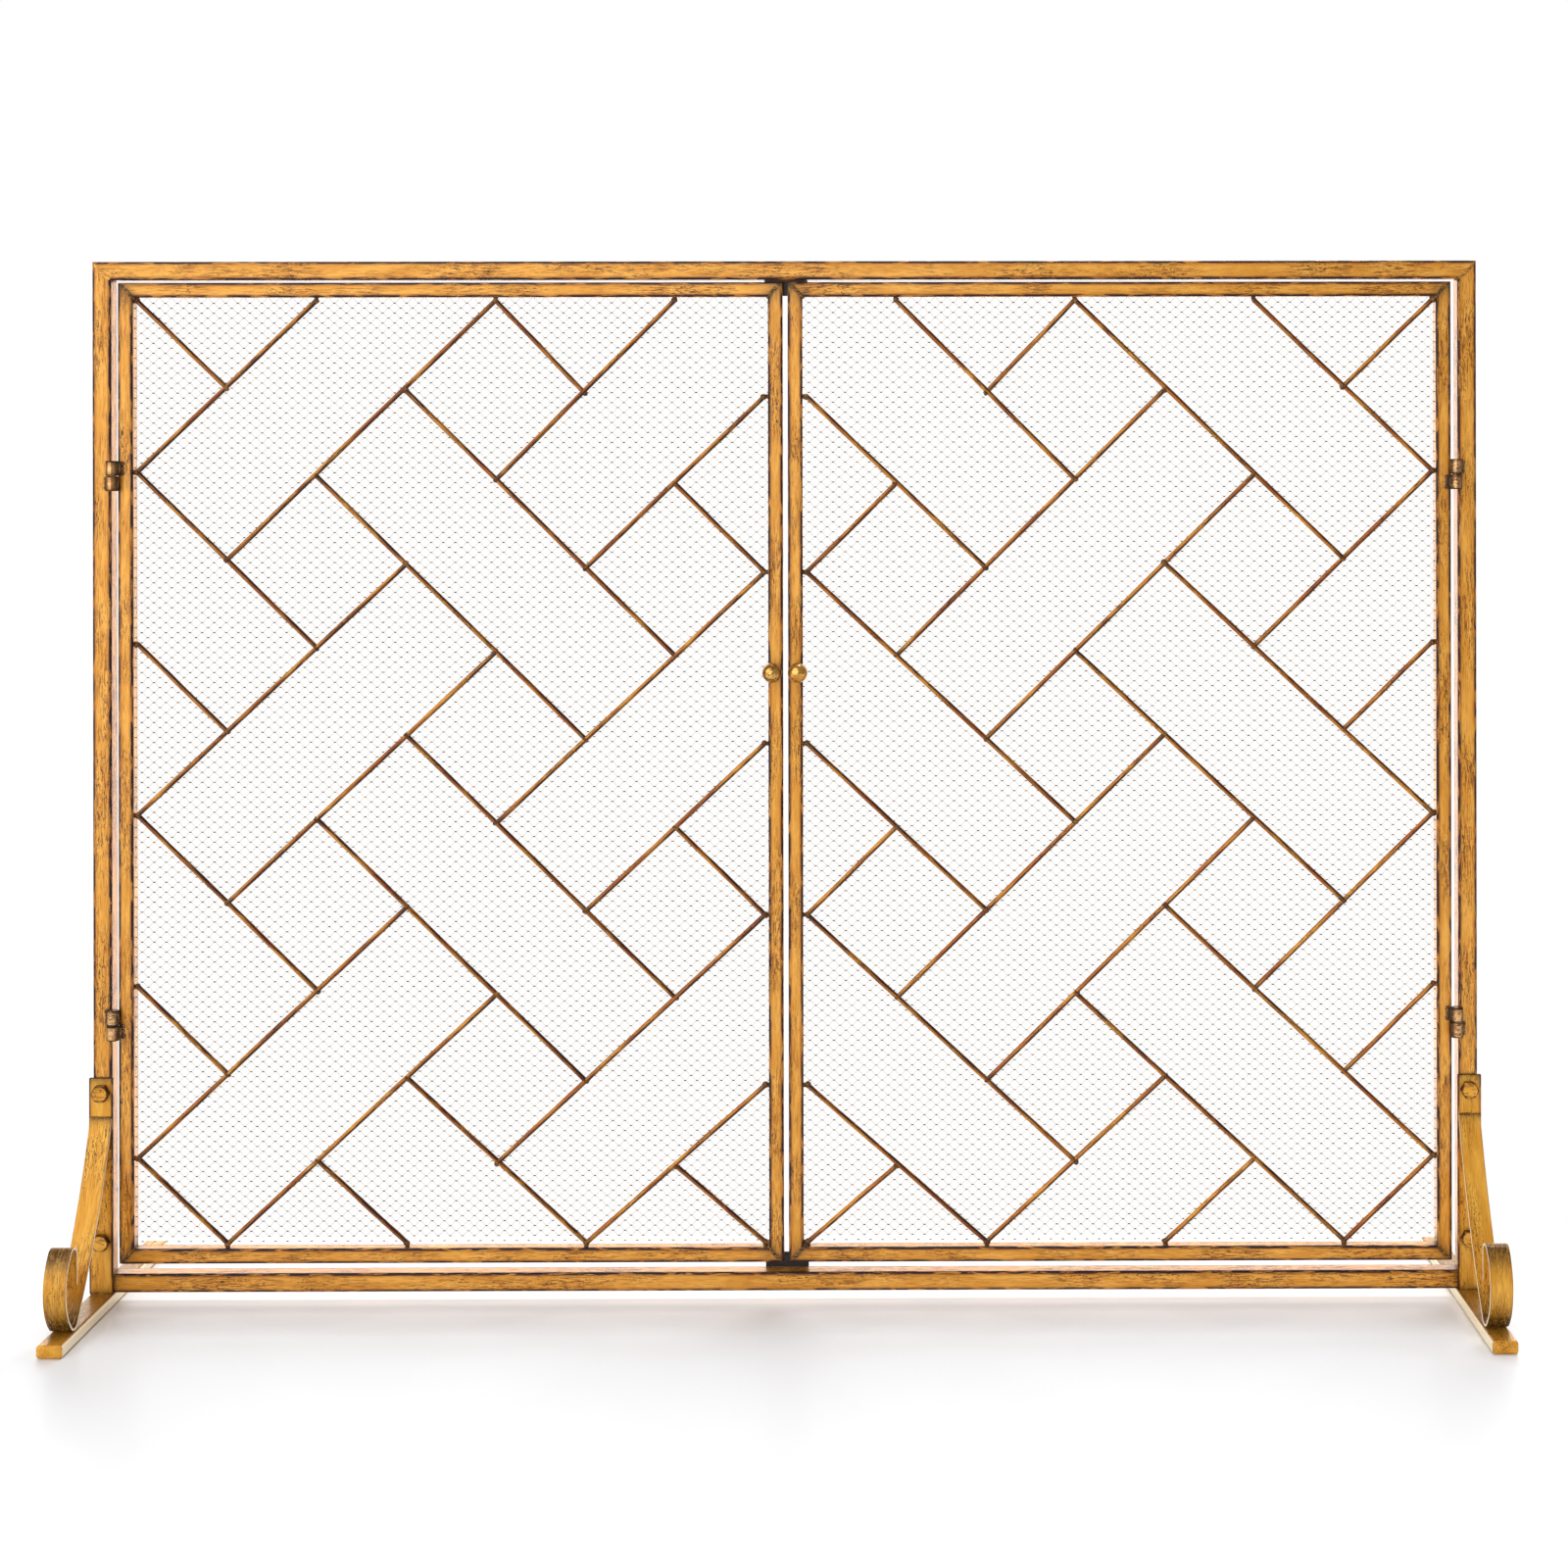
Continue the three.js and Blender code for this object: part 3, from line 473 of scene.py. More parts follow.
def woven_wire(name, strand, dark):
    """Annealed steel wire with gold paint left on the straight strands. The links are painted dark, partly as
    glaze caught in them and partly as painted shade where the wires hook round each other, and the joint fact
    marks them. A slow unevenness makes some links darker than others."""
    material, tree = blank(name)
    spot = add(tree, "ShaderNodeTexCoord").outputs["Object"]
    speckle = add(tree, "ShaderNodeTexNoise", {"Vector": spot, "Scale": 60.0, "Detail": 2.0}).outputs["Fac"]
    strength = ramp(tree, speckle, 0.35, 0.6, 0.55, 1.0, "LINEAR")
    factor = both(tree, "MULTIPLY", ramp(tree, fact(tree, "joint"), 0.25, 0.8), strength)
    colour = mix(tree, factor, linear(strand), linear(dark))
    surface(tree, {"Base Color": colour, "Metallic": 0.4, "Roughness": 0.4})
    return material


def speckled(name, one, two, size_mm, metal, rough, coat_weight=0.0):
    """Even finish with faint mottling of one grain size, for the plated and black painted pieces."""
    material, tree = blank(name)
    spot = add(tree, "ShaderNodeTexCoord").outputs["Object"]
    inputs = {"Vector": spot, "Scale": 1000 / size_mm, "Detail": 4.0}
    mottle = add(tree, "ShaderNodeTexNoise", inputs).outputs["Fac"]
    colour = mix(tree, mottle, linear(one), linear(two))
    roughness = ramp(tree, mottle, 0.3, 0.7, rough - 0.06, rough + 0.1, "LINEAR")
    bump = add(tree, "ShaderNodeBump", {"Height": mottle, "Strength": 0.2, "Distance": 0.05 * MM})
    inputs = {"Base Color": colour, "Metallic": metal, "Roughness": roughness, "Coat Weight": coat_weight}
    surface(tree, {**inputs, "Normal": bump.outputs["Normal"]})
    return material


# Brushed antique gold on the tubes: golden orange with fine brown grain and dark broken edges
frame_gold = streaked_gold("antique_gold_paint", "#F0AC48", "#DE9734", "#743208", "#140601", 0.9)
# The same paint on the flat bars and strips, wiped cleaner, so that they look brighter and smoother
shades = ("#EEB144", "#DC992E", "#7C3A0A", "#160701")
bar_gold = streaked_gold("clean_antique_gold_paint", *shades, 0.6, coat_weight=0.15)
# Thin rods took more glaze: orange brown with dark stretches, and one side of each rod painted darker, partly
# as glaze and partly as painted shade
rod_gold = streaked_gold("glazed_rod_gold_paint", "#E09A38", "#AA5E1C", "#4A1A05", "#160601", 1.0, 0.34, 0.5)
# Hinges: dark antique bronze, with painted shade down both flanks of each barrel, so only a line down the
# front shows gold
shades = ("#F4BE80", "#B87C44", "#2C1204", "#080301")
hinge_bronze = streaked_gold("dark_antique_bronze", *shades, 1.0, 0.2, 0.85, 0.2)
# Turned brass-coloured knobs under thin lacquer: sharp reflections, dark glaze in patches, and painted shade
# darkening the back of the ball and the neck, which makes a dark rim round the outline
shades = ("#F6C06A", "#CC8A34", "#40190A", "#0C0401")
knob_gold = streaked_gold("lacquered_knob_gold", *shades, 1.0, 0.16, 0.95, 0.1)
# Black paint on the catch plates and magnets, which swallows the light in the gap
catch_black = speckled("black_catch_paint", "#0B0908", "#1C1815", 1.5, 0.0, 0.45, 0.2)
# Zinc plating on nuts and screws: cool grey metal, never seen from the front
zinc = speckled("zinc_plated_steel", "#8E9092", "#B9BBBC", 2.0, 1.0, 0.32)


# ---------------------------------------------------------------------------------------- outer frame

def frame_corner_welds():
    """Beads over the two top mitres, in front and behind, and across both ends of the bottom rail."""
    low, high = place("top_rail")
    size = high[2] - low[2]
    skins = []
    for seed, (x, inward) in enumerate(((low[0], 1), (high[0], -1))):
        for y in (low[1], high[1]):
            start = (x + inward * 1.6 * MM, y, high[2] - 1.6 * MM)
            end = (x + inward * (size - 0.6 * MM), y, low[2] + 0.6 * MM)
            dirt = 0.0 if seed == 0 else 0.55
            skins.append(bead(start, end, (1.3 * MM, 0.24 * MM), 10 + seed, inward * 1.2 * MM, dirt))
        corner = (x + inward * size, low[1] + 3 * MM, low[2])
        skins.append(lumps([corner], (1.3 * MM, 2.5 * MM, 1.3 * MM), 20 + seed))
    rail_low, rail_high = place("bottom_rail")
    for seed, x in enumerate((rail_low[0], rail_high[0])):
        for y in (rail_low[1], rail_high[1]):
            start = (x, y, rail_low[2] + 0.8 * MM)
            end = (x, y, rail_high[2] - 0.8 * MM)
            skins.append(bead(start, end, (0.9 * MM, 0.35 * MM), 30 + seed))
        for z in (rail_low[2], rail_high[2]):
            start = (x, rail_low[1] + 1 * MM, z)
            end = (x, rail_high[1] - 1 * MM, z)
            skins.append(bead(start, end, (0.7 * MM, 0.7 * MM), 40 + seed))
    return skins


top_tube = square_tube("top_rail", 0, 1, (1, 1), 0.1)
make("top_rail_tube", [top_tube], frame_gold, "frame", "antique_gold", "top_rail")
bottom_tube = square_tube("bottom_rail", 0)
make("bottom_rail_tube", [bottom_tube], frame_gold, "frame", "antique_gold", "bottom_rail")
for side, s in SIDES:
    post = square_tube(f"{side}_post", 2, s, (0, 1), 0.1)
    make(f"{side}_post_tube", [post], frame_gold, "frame", "antique_gold", f"{side}_post")
make("frame_corner_welds", frame_corner_welds(), frame_gold, "frame", "antique_gold")


# --------------------------------------------------------------------------------------- legs and feet

def brace_path():
    """Centre line of the scroll brace as forward distance, height below its start and heading, with headings
    turned by equal small steps round each bend and the place summed from steps along the headings."""
    steps = [STRIP_LEAD]
    turns = [0.0]
    for radius, degrees in STRIP_BENDS:
        count = max(6, round(degrees / 4))
        turn = math.radians(degrees) / count
        steps += [2 * radius * MM * math.sin(turn / 2)] * count
        turns += [turn] * count
    steps += [STRIP_TAIL / 4] * 4
    turns += [0.0] * 4
    steps = np.array(steps)
    turns = np.array(turns)
    headings = np.cumsum(turns)
    along = headings - turns / 2
    forward = np.concatenate([[0], np.cumsum(steps * np.sin(along))])
    height = np.concatenate([[0], -np.cumsum(steps * np.cos(along))])
    travelled = np.concatenate([[0], np.cumsum(steps)])
    return forward, height, np.concatenate([[0], headings]), travelled


def scroll_brace(node, seed):
    """Flat strip with rounded edges carried along the brace's path. The path starts on the plate's front
    and hangs from the node's top. Each ring stands square to the heading, and the end rings are drawn in a
    little."""
    low, high = place(node)
    forward, height, heading, travelled = brace_path()
    thickness = STRIP_THICKNESS
    start_depth = high[1] - thickness / 2
    insets = np.zeros(len(forward))
    insets[[0, -1]] = 0.35 * MM
    rings = [rounded_rectangle(high[0] - low[0], thickness, 0.45 * MM, inset) for inset in insets]
    section = np.stack([ring for ring, _ in rings])
    edge = np.stack([near for _, near in rings])
    middle = (low[0] + high[0]) / 2
    flat = section[..., 1]
    points = np.stack(
        [
            middle + section[..., 0],
            start_depth - forward[:, None] - flat * np.cos(heading)[:, None],
            high[2] + height[:, None] + flat * np.sin(heading)[:, None],
        ],
        -1,
    )
    far = np.broadcast_to(travelled[:, None] + seed, flat.shape)
    grain = np.stack([far, section[..., 0], flat], -1)
    heel = np.argmin(height)
    away = np.abs(travelled - travelled[heel])
    crown = travelled[-1] - STRIP_TAIL - 18 * MM
    dark = 1.4 * np.exp(-((away / (25 * MM)) ** 2))
    dark = dark + 0.95 * np.exp(-(((travelled - crown) / (13 * MM)) ** 2))
    dark = dark + np.exp(-travelled / (3 * MM))
    # Painted highlight: the strip's two thin sides are marked below zero on the edge fact, so they take
    # near-white gold as if lit.
    on_side = np.abs(section[..., 0]) > (high[0] - low[0]) / 2 - 0.15 * MM
    sides_painted_light = np.where(on_side, -1.0, 0.5 * edge)
    return skin(coat(points, grain, sides_painted_light, np.clip(dark, 0, 1)[:, None])), points[heel].mean(0)


def hexagon_bolt(node, seed):
    """Bolt head: a hexagon whose half width is flats / 2 over the cosine of the angle from the nearest flat's
    middle, topped by a 30 degree cone that cuts its corners, and a shallow dished face. A round shank
    runs back from it."""
    low, high = place(node)
    flats = high[2] - low[2]
    centre = (low + high) / 2
    front = low[1]
    head = 5.3 * MM
    angle = np.linspace(0, 2 * math.pi, 72, endpoint=False)
    from_flat = np.mod(angle, math.pi / 3) - math.pi / 6
    reach = flats / 2 / np.cos(from_flat)
    face = flats / 2 - 0.35 * MM
    drop = (reach - face) * math.tan(math.radians(30))
    radii = np.stack([reach, reach, reach - 0.15 * MM, 0 * reach + face, 0 * reach + face - 0.5 * MM])
    depth = np.stack([0 * reach + head, drop + 0.1 * MM, drop, 0 * reach, 0 * reach + 0.12 * MM])
    inner = np.linspace(face - 1.5 * MM, 0.4 * MM, 5)[:, None] * np.ones(72)
    radii = np.concatenate([radii, inner])
    depth = np.concatenate([depth, 0 * inner + 0.16 * MM])
    across, up = radii * np.cos(angle), radii * np.sin(angle)
    points = np.stack([centre[0] + across, front + depth, centre[2] + up], -1)
    # Painted shade: the chamfer rings carry heavy edge glaze that is partly a painted dark outline. The back
    # ring, where the head sits on the plate, is darkened through the joint fact as shade in the crease.
    edge = np.zeros(radii.shape)
    edge[1:4] = 0.85
    edge[0] = 1.0
    joint = np.zeros(radii.shape)
    joint[0] = 1.0
    grain = points * 0.6 + seed
    shank = [(4 * MM, 0.0), (4 * MM, high[1] - front - head - 1 * MM), (3.2 * MM, high[1] - front - head)]
    return [
        skin(coat(points, grain, edge, joint), "pole"),
        turned(shank, (centre[0], front + head, centre[2]), 1, 24, "flat"),
    ]


for side, s in SIDES:
    foot = flat_bar(*place(f"{side}_foot_bar"), 1, 2.5 * MM, 0.7 * MM, 5.0 * s, 2 * MM, True)
    make(f"{side}_foot", [foot], bar_gold, "frame", "antique_gold", f"{side}_foot_bar")

    plate = flat_bar(*place(f"{side}_leg_plate"), 2, 0.7 * MM, 0.6 * MM, 9.0 * s, 3 * MM)
    make(f"{side}_plate", [plate], bar_gold, "frame", "antique_gold", f"{side}_leg_plate")

    brace, heel = scroll_brace(f"{side}_scroll_brace", 13.0 * s)
    make(f"{side}_brace_strip", [brace], bar_gold, "frame", "antique_gold", f"{side}_scroll_brace")

    for level in ("upper", "lower"):
        node = f"{side}_{level}_leg_bolt"
        bolt = hexagon_bolt(node, 3.0 * s + (level == "upper"))
        make(f"{side}_{level}_bolt", bolt, bar_gold, "frame", "antique_gold", node)

    plate_low, plate_high = place(f"{side}_leg_plate")
    brace_low, brace_high = place(f"{side}_scroll_brace")
    post_low, post_high = place(f"{side}_post")
    foot_top = place(f"{side}_foot_bar")[1][2]
    inside = post_low[0] if s > 0 else post_high[0]
    front, back = plate_low[1], post_high[1]
    lead = front - 0.6 * MM
    # first and last x, first and last y, height, and half width and half height in millimetres
    lines = (
        (plate_low[0] + 0.5 * MM, plate_high[0] - 0.5 * MM, front, front, foot_top, 0.8, 0.8),
        (brace_low[0] + 0.4 * MM, brace_high[0] - 0.4 * MM, lead, lead, brace_high[2], 0.8, 0.9),
        (brace_low[0] + 1 * MM, brace_high[0] - 1 * MM, heel[1], heel[1], foot_top, 1.0, 1.8),
        (inside, inside, post_low[1] + 1 * MM, back - 1 * MM, foot_top, 0.8, 0.8),
        (post_low[0] + 1 * MM, post_high[0] - 1 * MM, back, back, foot_top, 0.9, 0.9),
    )
    welds = []
    for number, (x0, x1, y0, y1, z, wide, tall) in enumerate(lines):
        radii = (wide * MM, tall * MM)
        welds.append(bead((x0, y0, z), (x1, y1, z), radii, 50 + 4 * number + s))
    make(f"{side}_leg_welds", welds, bar_gold, "frame", "antique_gold")


# ---------------------------------------------------------------------------------- catches and hinges

for level in ("top", "bottom"):
    node = f"{level}_catch_plate"
    plate = flat_bar(*place(node), 0, 0.3 * MM, 0.3 * MM)
    make(f"{level}_catch", [plate], catch_black, "frame", "black_paint", node)
    for side, s in SIDES:
        node = f"{side}_{level}_magnet"
        magnet = flat_bar(*place(node), 0, 0.25 * MM, 0.25 * MM)
        make(f"{side}_{level}_magnet_strip", [magnet], catch_black, "frame", "black_paint", node)


def knuckle(node, face, toward, seed):
    """Rolled hinge barrel with softened rims, and a weld lug from it back to the tube's face. The profile
    runs up the outside and down the bore, so that it closes as a loop."""
    low, high = place(node)
    radius = 4.85 * MM
    bore = 2.55 * MM
    length = high[2] - low[2]
    axis_x = high[0] - radius if toward < 0 else low[0] + radius
    centre = (axis_x, low[1] + radius, low[2])
    soft = 0.45 * MM
    profile = [
        (radius - soft, 0.0),
        (radius - soft * 0.3, soft * 0.3),
        (radius, soft),
        (radius - 0.05 * MM, 1.6 * MM),
        (radius - 0.12 * MM, length * 0.5),
        (radius - 0.05 * MM, length - 1.6 * MM),
        (radius, length - soft),
        (radius - soft * 0.3, length - soft * 0.3),
        (radius - soft, length),
        (bore + 0.2 * MM, length),
        (bore, length - 0.2 * MM),
        (bore, 0.2 * MM),
        (bore + 0.2 * MM, 0.0),
    ]
    rims = np.array([1, 1, 0.95, 0.3, 0, 0.3, 0.95, 1, 1, 1, 1, 1, 1])[:, None]
    sides = 36
    # Painted shade: the barrel's two flanks, which face sideways, are darkened through the joint fact, as
    # shade falls on them.
    flank = np.abs(np.cos(np.linspace(0, 2 * math.pi, sides, endpoint=False)))
    glaze = np.clip(2.6 * flank - 1.1, 0, 1)[None, :]
    barrel = turned(profile, centre, 2, sides, "loop", rims, glaze)
    near = axis_x + toward * 3.35 * MM
    far = axis_x + toward * (radius + 1.4 * MM)
    lug = flat_bar(
        (min(near, far), low[1] + radius + 1.4 * MM, low[2] + 1.5 * MM),
        (max(near, far), face, high[2] - 1.5 * MM),
        2,
        0.6 * MM,
        0.4 * MM,
    )
    middle = (low[2] + high[2]) / 2
    edge_x = axis_x + toward * (radius + 1.6 * MM)
    spots = [(edge_x, face - 0.1 * MM, middle + rise) for rise in (-3.6 * MM, 0.4 * MM, 3.8 * MM)]
    sizes = np.array([(2.0, 1.0, 2.3), (1.6, 0.8, 2.0), (1.9, 0.9, 2.1)]) * MM
    weld = lumps(spots, sizes, seed)
    return [barrel, lug, weld]


for side, s in SIDES:
    door = f"{side}_door"
    frame_face = place(f"{side}_post")[0][1]
    door_face = place(f"{side}_door_hinge_stile")[0][1]
    for level in ("upper", "lower"):
        seed = 70 + 2 * s + (level == "upper")
        node = f"{side}_{level}_post_knuckle"
        fixed = knuckle(node, frame_face, s, seed)
        make(f"{side}_{level}_fixed_knuckle", fixed, hinge_bronze, "frame", "antique_bronze", node)
        node = f"{side}_{level}_door_knuckle"
        moving = knuckle(node, door_face, -s, seed + 10)
        make(f"{side}_{level}_moving_knuckle", moving, hinge_bronze, door, "antique_bronze", node)
        node = f"{side}_{level}_hinge_pin"
        low, high = place(node)
        middle = (low + high) / 2
        length = high[2] - low[2]
        radius = (high[0] - low[0]) / 2
        ends = [(radius - 1.2 * MM, 0.0), (radius - 0.4 * MM, 0.15 * MM), (radius, 0.6 * MM)]
        profile = ends + [(r, length - distance) for r, distance in ends[::-1]]
        pin = turned(profile, (middle[0], middle[1], low[2]), 2, 28)
        make(f"{side}_{level}_pin", [pin], hinge_bronze, "frame", "antique_bronze", node)


# ---------------------------------------------------------------------------------------------- doors

def door_opening(side):
    """Inside corners of a door frame: lowest and highest x and z."""
    hinge_low, hinge_high = place(f"{side}_door_hinge_stile")
    meeting_low, meeting_high = place(f"{side}_door_meeting_stile")
    x0 = min(hinge_high[0], meeting_high[0])
    x1 = max(hinge_low[0], meeting_low[0])
    z0 = place(f"{side}_door_bottom_rail")[1][2]
    z1 = place(f"{side}_door_top_rail")[0][2]
    return x0, x1, z0, z1


def grid_point(side, s, column, row):
    """Place of a lattice grid point. Columns run from the hinge side and rows from the top; each column
    hangs a little lower, by a sag that is full at mid height and fades out at the top and bottom rows."""
    x0, x1, z0, z1 = door_opening(side)
    hinge_x = x0 if s < 0 else x1
    width = x1 - x0
    step_x = (width - GRID_INSET_HINGE_SIDE - GRID_INSET_MEETING_SIDE) / GRID_COLUMNS
    step_z = (z1 - z0 - GRID_INSET_TOP - GRID_INSET_BOTTOM) / GRID_ROWS
    x = hinge_x - s * (GRID_INSET_HINGE_SIDE + column * step_x)
    sag = GRID_SAG_PER_COLUMN * column * (1 - (2 * row / GRID_ROWS - 1) ** 6)
    low, high = place(f"{side}_door_lattice")
    return np.array([x, (low[1] + high[1]) / 2, z1 - GRID_INSET_TOP - row * step_z - sag])


def rod_spans():
    """Every rod of the basket weave as its first and last grid point and its lean. A rod starts where both
    numbers leave 2, or leave 3 and 1, on division by 4 (running down and inwards), or both leave 0 or 3
    (running down and outwards), and is three steps long less what falls outside the grid."""
    spans = []
    for column in range(-3, GRID_COLUMNS + 4):
        for row in range(-3, GRID_ROWS + 1):
            left_over = (column % 4, row % 4)
            for lean, starts in ((1, ((2, 2), (3, 1))), (-1, ((0, 0), (3, 3)))):
                if left_over not in starts:
                    continue
                steps = [
                    k
                    for k in range(4)
                    if 0 <= column + lean * k <= GRID_COLUMNS and 0 <= row + k <= GRID_ROWS
                ]
                if len(steps) > 1:
                    first, last = steps[0], steps[-1]
                    spans.append((column + lean * first, row + first, column + lean * last, row + last, lean))
    return spans


def rods(starts, ends, radius, seed):
    """Round rods: a circle carried from each start to its end, whose radius and line waver by a few
    hundredths. The paint is darkest at both ends, where it pooled round the welds."""
    starts = np.array(starts)
    ends = np.array(ends)
    rings, sides = 26, 14
    share = np.linspace(0, 1, rings)[None, :, None, None]
    angle = np.linspace(0, 2 * math.pi, sides, endpoint=False)[None, None, :, None]
    reach = np.linalg.norm(ends - starts, axis=1)[:, None, None, None]
    forward = (ends - starts)[:, None, None] / reach
    out = np.array([0.0, -1.0, 0.0])
    side = np.cross(forward, out)
    shift = np.random.default_rng(seed).uniform(0, 6.28, (len(starts), 3, 1, 1, 1))
    thick = 1 + 0.03 * np.sin(19 * share + shift[:, 0]) + 0.02 * np.sin(47 * share + shift[:, 1])
    waver = 0.18 * MM * np.sin(math.pi * share) * np.sin(7 * share + shift[:, 2])
    across = radius * thick * np.cos(angle)
    depth = radius * thick * np.sin(angle)
    points = starts[:, None, None] + forward * reach * share + side * (across + waver) + out * depth
    number = np.arange(len(starts))[:, None, None, None]
    along = reach * share + 0.7 * number + seed + 0 * angle
    grain = np.concatenate([along, across + 0 * along, depth + 0 * along], -1)
    near = np.exp(-np.minimum(share, 1 - share) * reach / (5 * MM))[..., 0]
    # Painted shade, partly glaze: one side of each rod, across the frame's plane, is marked as an edge. It
    # paints brown to near-black there, fading over the front.
    under = 0.5 - 0.5 * np.cos(angle[..., 0])
    return skin(coat(points, grain, under + 0 * near, near + 0 * under))


def lattice(side, s):
    """Rods, the short stubs that tie border points to the tubes, and the weld lumps at every joint."""
    x0, x1, z0, z1 = door_opening(side)
    hinge_x, meeting_x = (x0, x1) if s < 0 else (x1, x0)
    starts, ends, joints, stubs = [], [], {}, []
    for column0, row0, column1, row1, lean in rod_spans():
        depth = np.array([0.0, lean * LEAN_OFFSET / 2, 0.0])
        starts.append(grid_point(side, s, column0, row0) + depth)
        ends.append(grid_point(side, s, column1, row1) + depth)
        joints[column0, row0] = starts[-1]
        joints[column1, row1] = ends[-1]
    for (column, row), point in joints.items():
        for wanted, axis, target in (
            (column == 0, 0, hinge_x),
            (column == GRID_COLUMNS, 0, meeting_x),
            (row == 0, 2, z1),
            (row == GRID_ROWS, 2, z0),
        ):
            if wanted:
                reached = point.copy()
                reached[axis] = target
                stubs.append((point, reached))
    stub_starts, stub_ends = zip(*stubs)
    spots = np.array(list(joints.values())) + np.array([0.0, -0.5 * MM, 0.0])
    rng = np.random.default_rng(5)
    spots = spots + rng.uniform(-0.5, 0.5, spots.shape) * MM * np.array([1, 0.3, 1])
    sizes = rng.uniform(2.1, 2.8, (len(spots), 3)) * MM * np.array([1.0, 0.9, 1.0])
    rods_skin = rods(starts, ends, ROD_RADIUS, 100 + s)
    stubs_skin = rods(stub_starts, stub_ends, STUB_RADIUS, 110 + s)
    joint_welds = lumps(spots, sizes, 120 + s)
    border_welds = lumps(np.array(stub_ends), (2.0 * MM, 1.9 * MM, 2.0 * MM), 130 + s)
    return [rods_skin, stubs_skin], [joint_welds, border_welds]


def woven_rows(side, third):
    """One third of the rows of the door's wire mesh, counted from the top. Each wire zigzags across the
    opening: its bends lie at equal steps across, by turns on the link row above and the one below, with a
    short level run at each bend. A strand lies in front between two bends and behind between the next two,
    so that each bend hooks round the wire of the next row. The wire is three sided, thin along the strands
    and thicker at the links, where the glaze has gathered."""
    x0, x1, z0, z1 = door_opening(side)
    low, high = place(f"{side}_door_mesh_panel")
    rows = round((z1 - z0) / WIRE_PITCH_DOWN)
    bends = round((x1 - x0) / (WIRE_PITCH_ACROSS / 2))
    pitch = (z1 - z0) / rows
    step = (x1 - x0) / bends
    first = third * (rows // 3)
    last = rows if third == 2 else first + rows // 3
    row = np.arange(first, last)[:, None, None]
    bend = np.arange(bends + 1)[None, :, None]
    stage = np.array([0, 1, 2, 3])[None, None, :]
    shape = (len(row), bends + 1, 4)
    strand = np.broadcast_to(stage > 1, shape)
    run = step - 2 * WIRE_LINK
    share = np.array([0.0, 0.0, WIRE_TAPER / run, 1 - WIRE_TAPER / run])
    hook = np.where((bend + row) % 2 == 0, 1.0, -1.0)
    level = z1 - pitch * (row + 0.5) + hook * (pitch / 2 + WIRE_RADIUS)
    following = z1 - pitch * (row + 0.5) - hook * (pitch / 2 + WIRE_RADIUS)
    past_bend = np.array([-1.0, 1.0, 1.0, 1.0])
    x = x0 + step * bend + past_bend * WIRE_LINK + run * share
    y = (low[1] + high[1]) / 2 + hook * past_bend * 0.6 * WIRE_RADIUS
    z = level + (following - level) * share
    path = np.stack([np.broadcast_to(one, shape) for one in (x, y, z)], -1).reshape(len(row), -1, 3)
    path[..., 0] = np.clip(path[..., 0], x0 - 0.3 * MM, x1 + 0.3 * MM)
    path[..., 2] = np.clip(path[..., 2], z0 - 0.2 * MM, z1 + 0.2 * MM)
    radius = np.where(strand, WIRE_THIN, WIRE_THICK).reshape(len(row), -1) * WIRE_RADIUS
    # The links are marked dark: partly glaze, and partly painted shade where the wires hook round each other.
    dark = np.where(strand, 0.0, 1.0).reshape(len(row), -1)
    forward = np.gradient(path, axis=1)
    forward[..., 1] = 0
    forward /= np.linalg.norm(forward, axis=-1, keepdims=True)
    out = np.array([0.0, -1.0, 0.0])
    side_way = np.cross(forward, out)[:, :, None]
    angle = np.radians([90, 210, 330])[:, None]
    ring = (side_way * np.cos(angle) + out * np.sin(angle)) * radius[..., None, None]
    return skin(coat(path[:, :, None] + ring, None, 0.0, dark[..., None]))


def door_welds(side):
    """Beads over the four mitres of a door frame, in front and behind, with a lump in each inside corner."""
    x0, x1, z0, z1 = door_opening(side)
    low, high = place(f"{side}_door_hinge_stile")
    size = high[0] - low[0]
    skins = []
    corners = ((x0, z0, -1, -1), (x1, z0, 1, -1), (x0, z1, -1, 1), (x1, z1, 1, 1))
    for number, (x, z, dx, dz) in enumerate(corners):
        for y in (low[1], high[1]):
            start = (x + dx * (size - 1.8 * MM), y, z + dz * (size - 1.8 * MM))
            end = (x + dx * 0.5 * MM, y, z + dz * 0.5 * MM)
            skins.append(bead(start, end, (1.2 * MM, 0.45 * MM), 140 + number, dx * dz * 0.7 * MM, 1.0))
        skins.append(lumps([(x, low[1] + 2.5 * MM, z)], (1.5 * MM, 2.2 * MM, 1.5 * MM), 150 + number))
    return skins


def ball_knob(node, face):
    """Ball on a short neck: the neck flares from the stile, narrows, and meets the ball, whose radius
    follows a circle from the neck to the front pole."""
    low, high = place(node)
    centre = (low + high) / 2
    radius = (high[0] - low[0]) / 2
    middle = low[1] + radius
    neck = 4.0 * MM
    start = math.asin(neck * 0.86 / radius)
    angle = np.linspace(start, math.pi - 0.03, 34)
    ball = np.stack([radius * np.sin(angle), middle + radius * np.cos(angle)], -1)
    flange = [(0.8 * MM, face), (neck + 0.7 * MM, face), (neck + 0.6 * MM, face - 0.5 * MM)]
    flange += [(neck * 0.92, face - 1.0 * MM), (neck * 0.86, face - 1.5 * MM)]
    profile = flange + [tuple(one) for one in ball]
    # Painted shade: the ball darkens from its front pole back to the neck through the joint fact, so that a
    # dark rim runs round its outline.
    share = (np.array([depth for _, depth in profile]) - low[1]) / (face - low[1])
    glaze = np.clip(4.2 * share - 0.85, 0, 1)[:, None]
    return turned(profile, (centre[0], 0.0, centre[2]), 1, 48, "pole", 0.0, glaze)


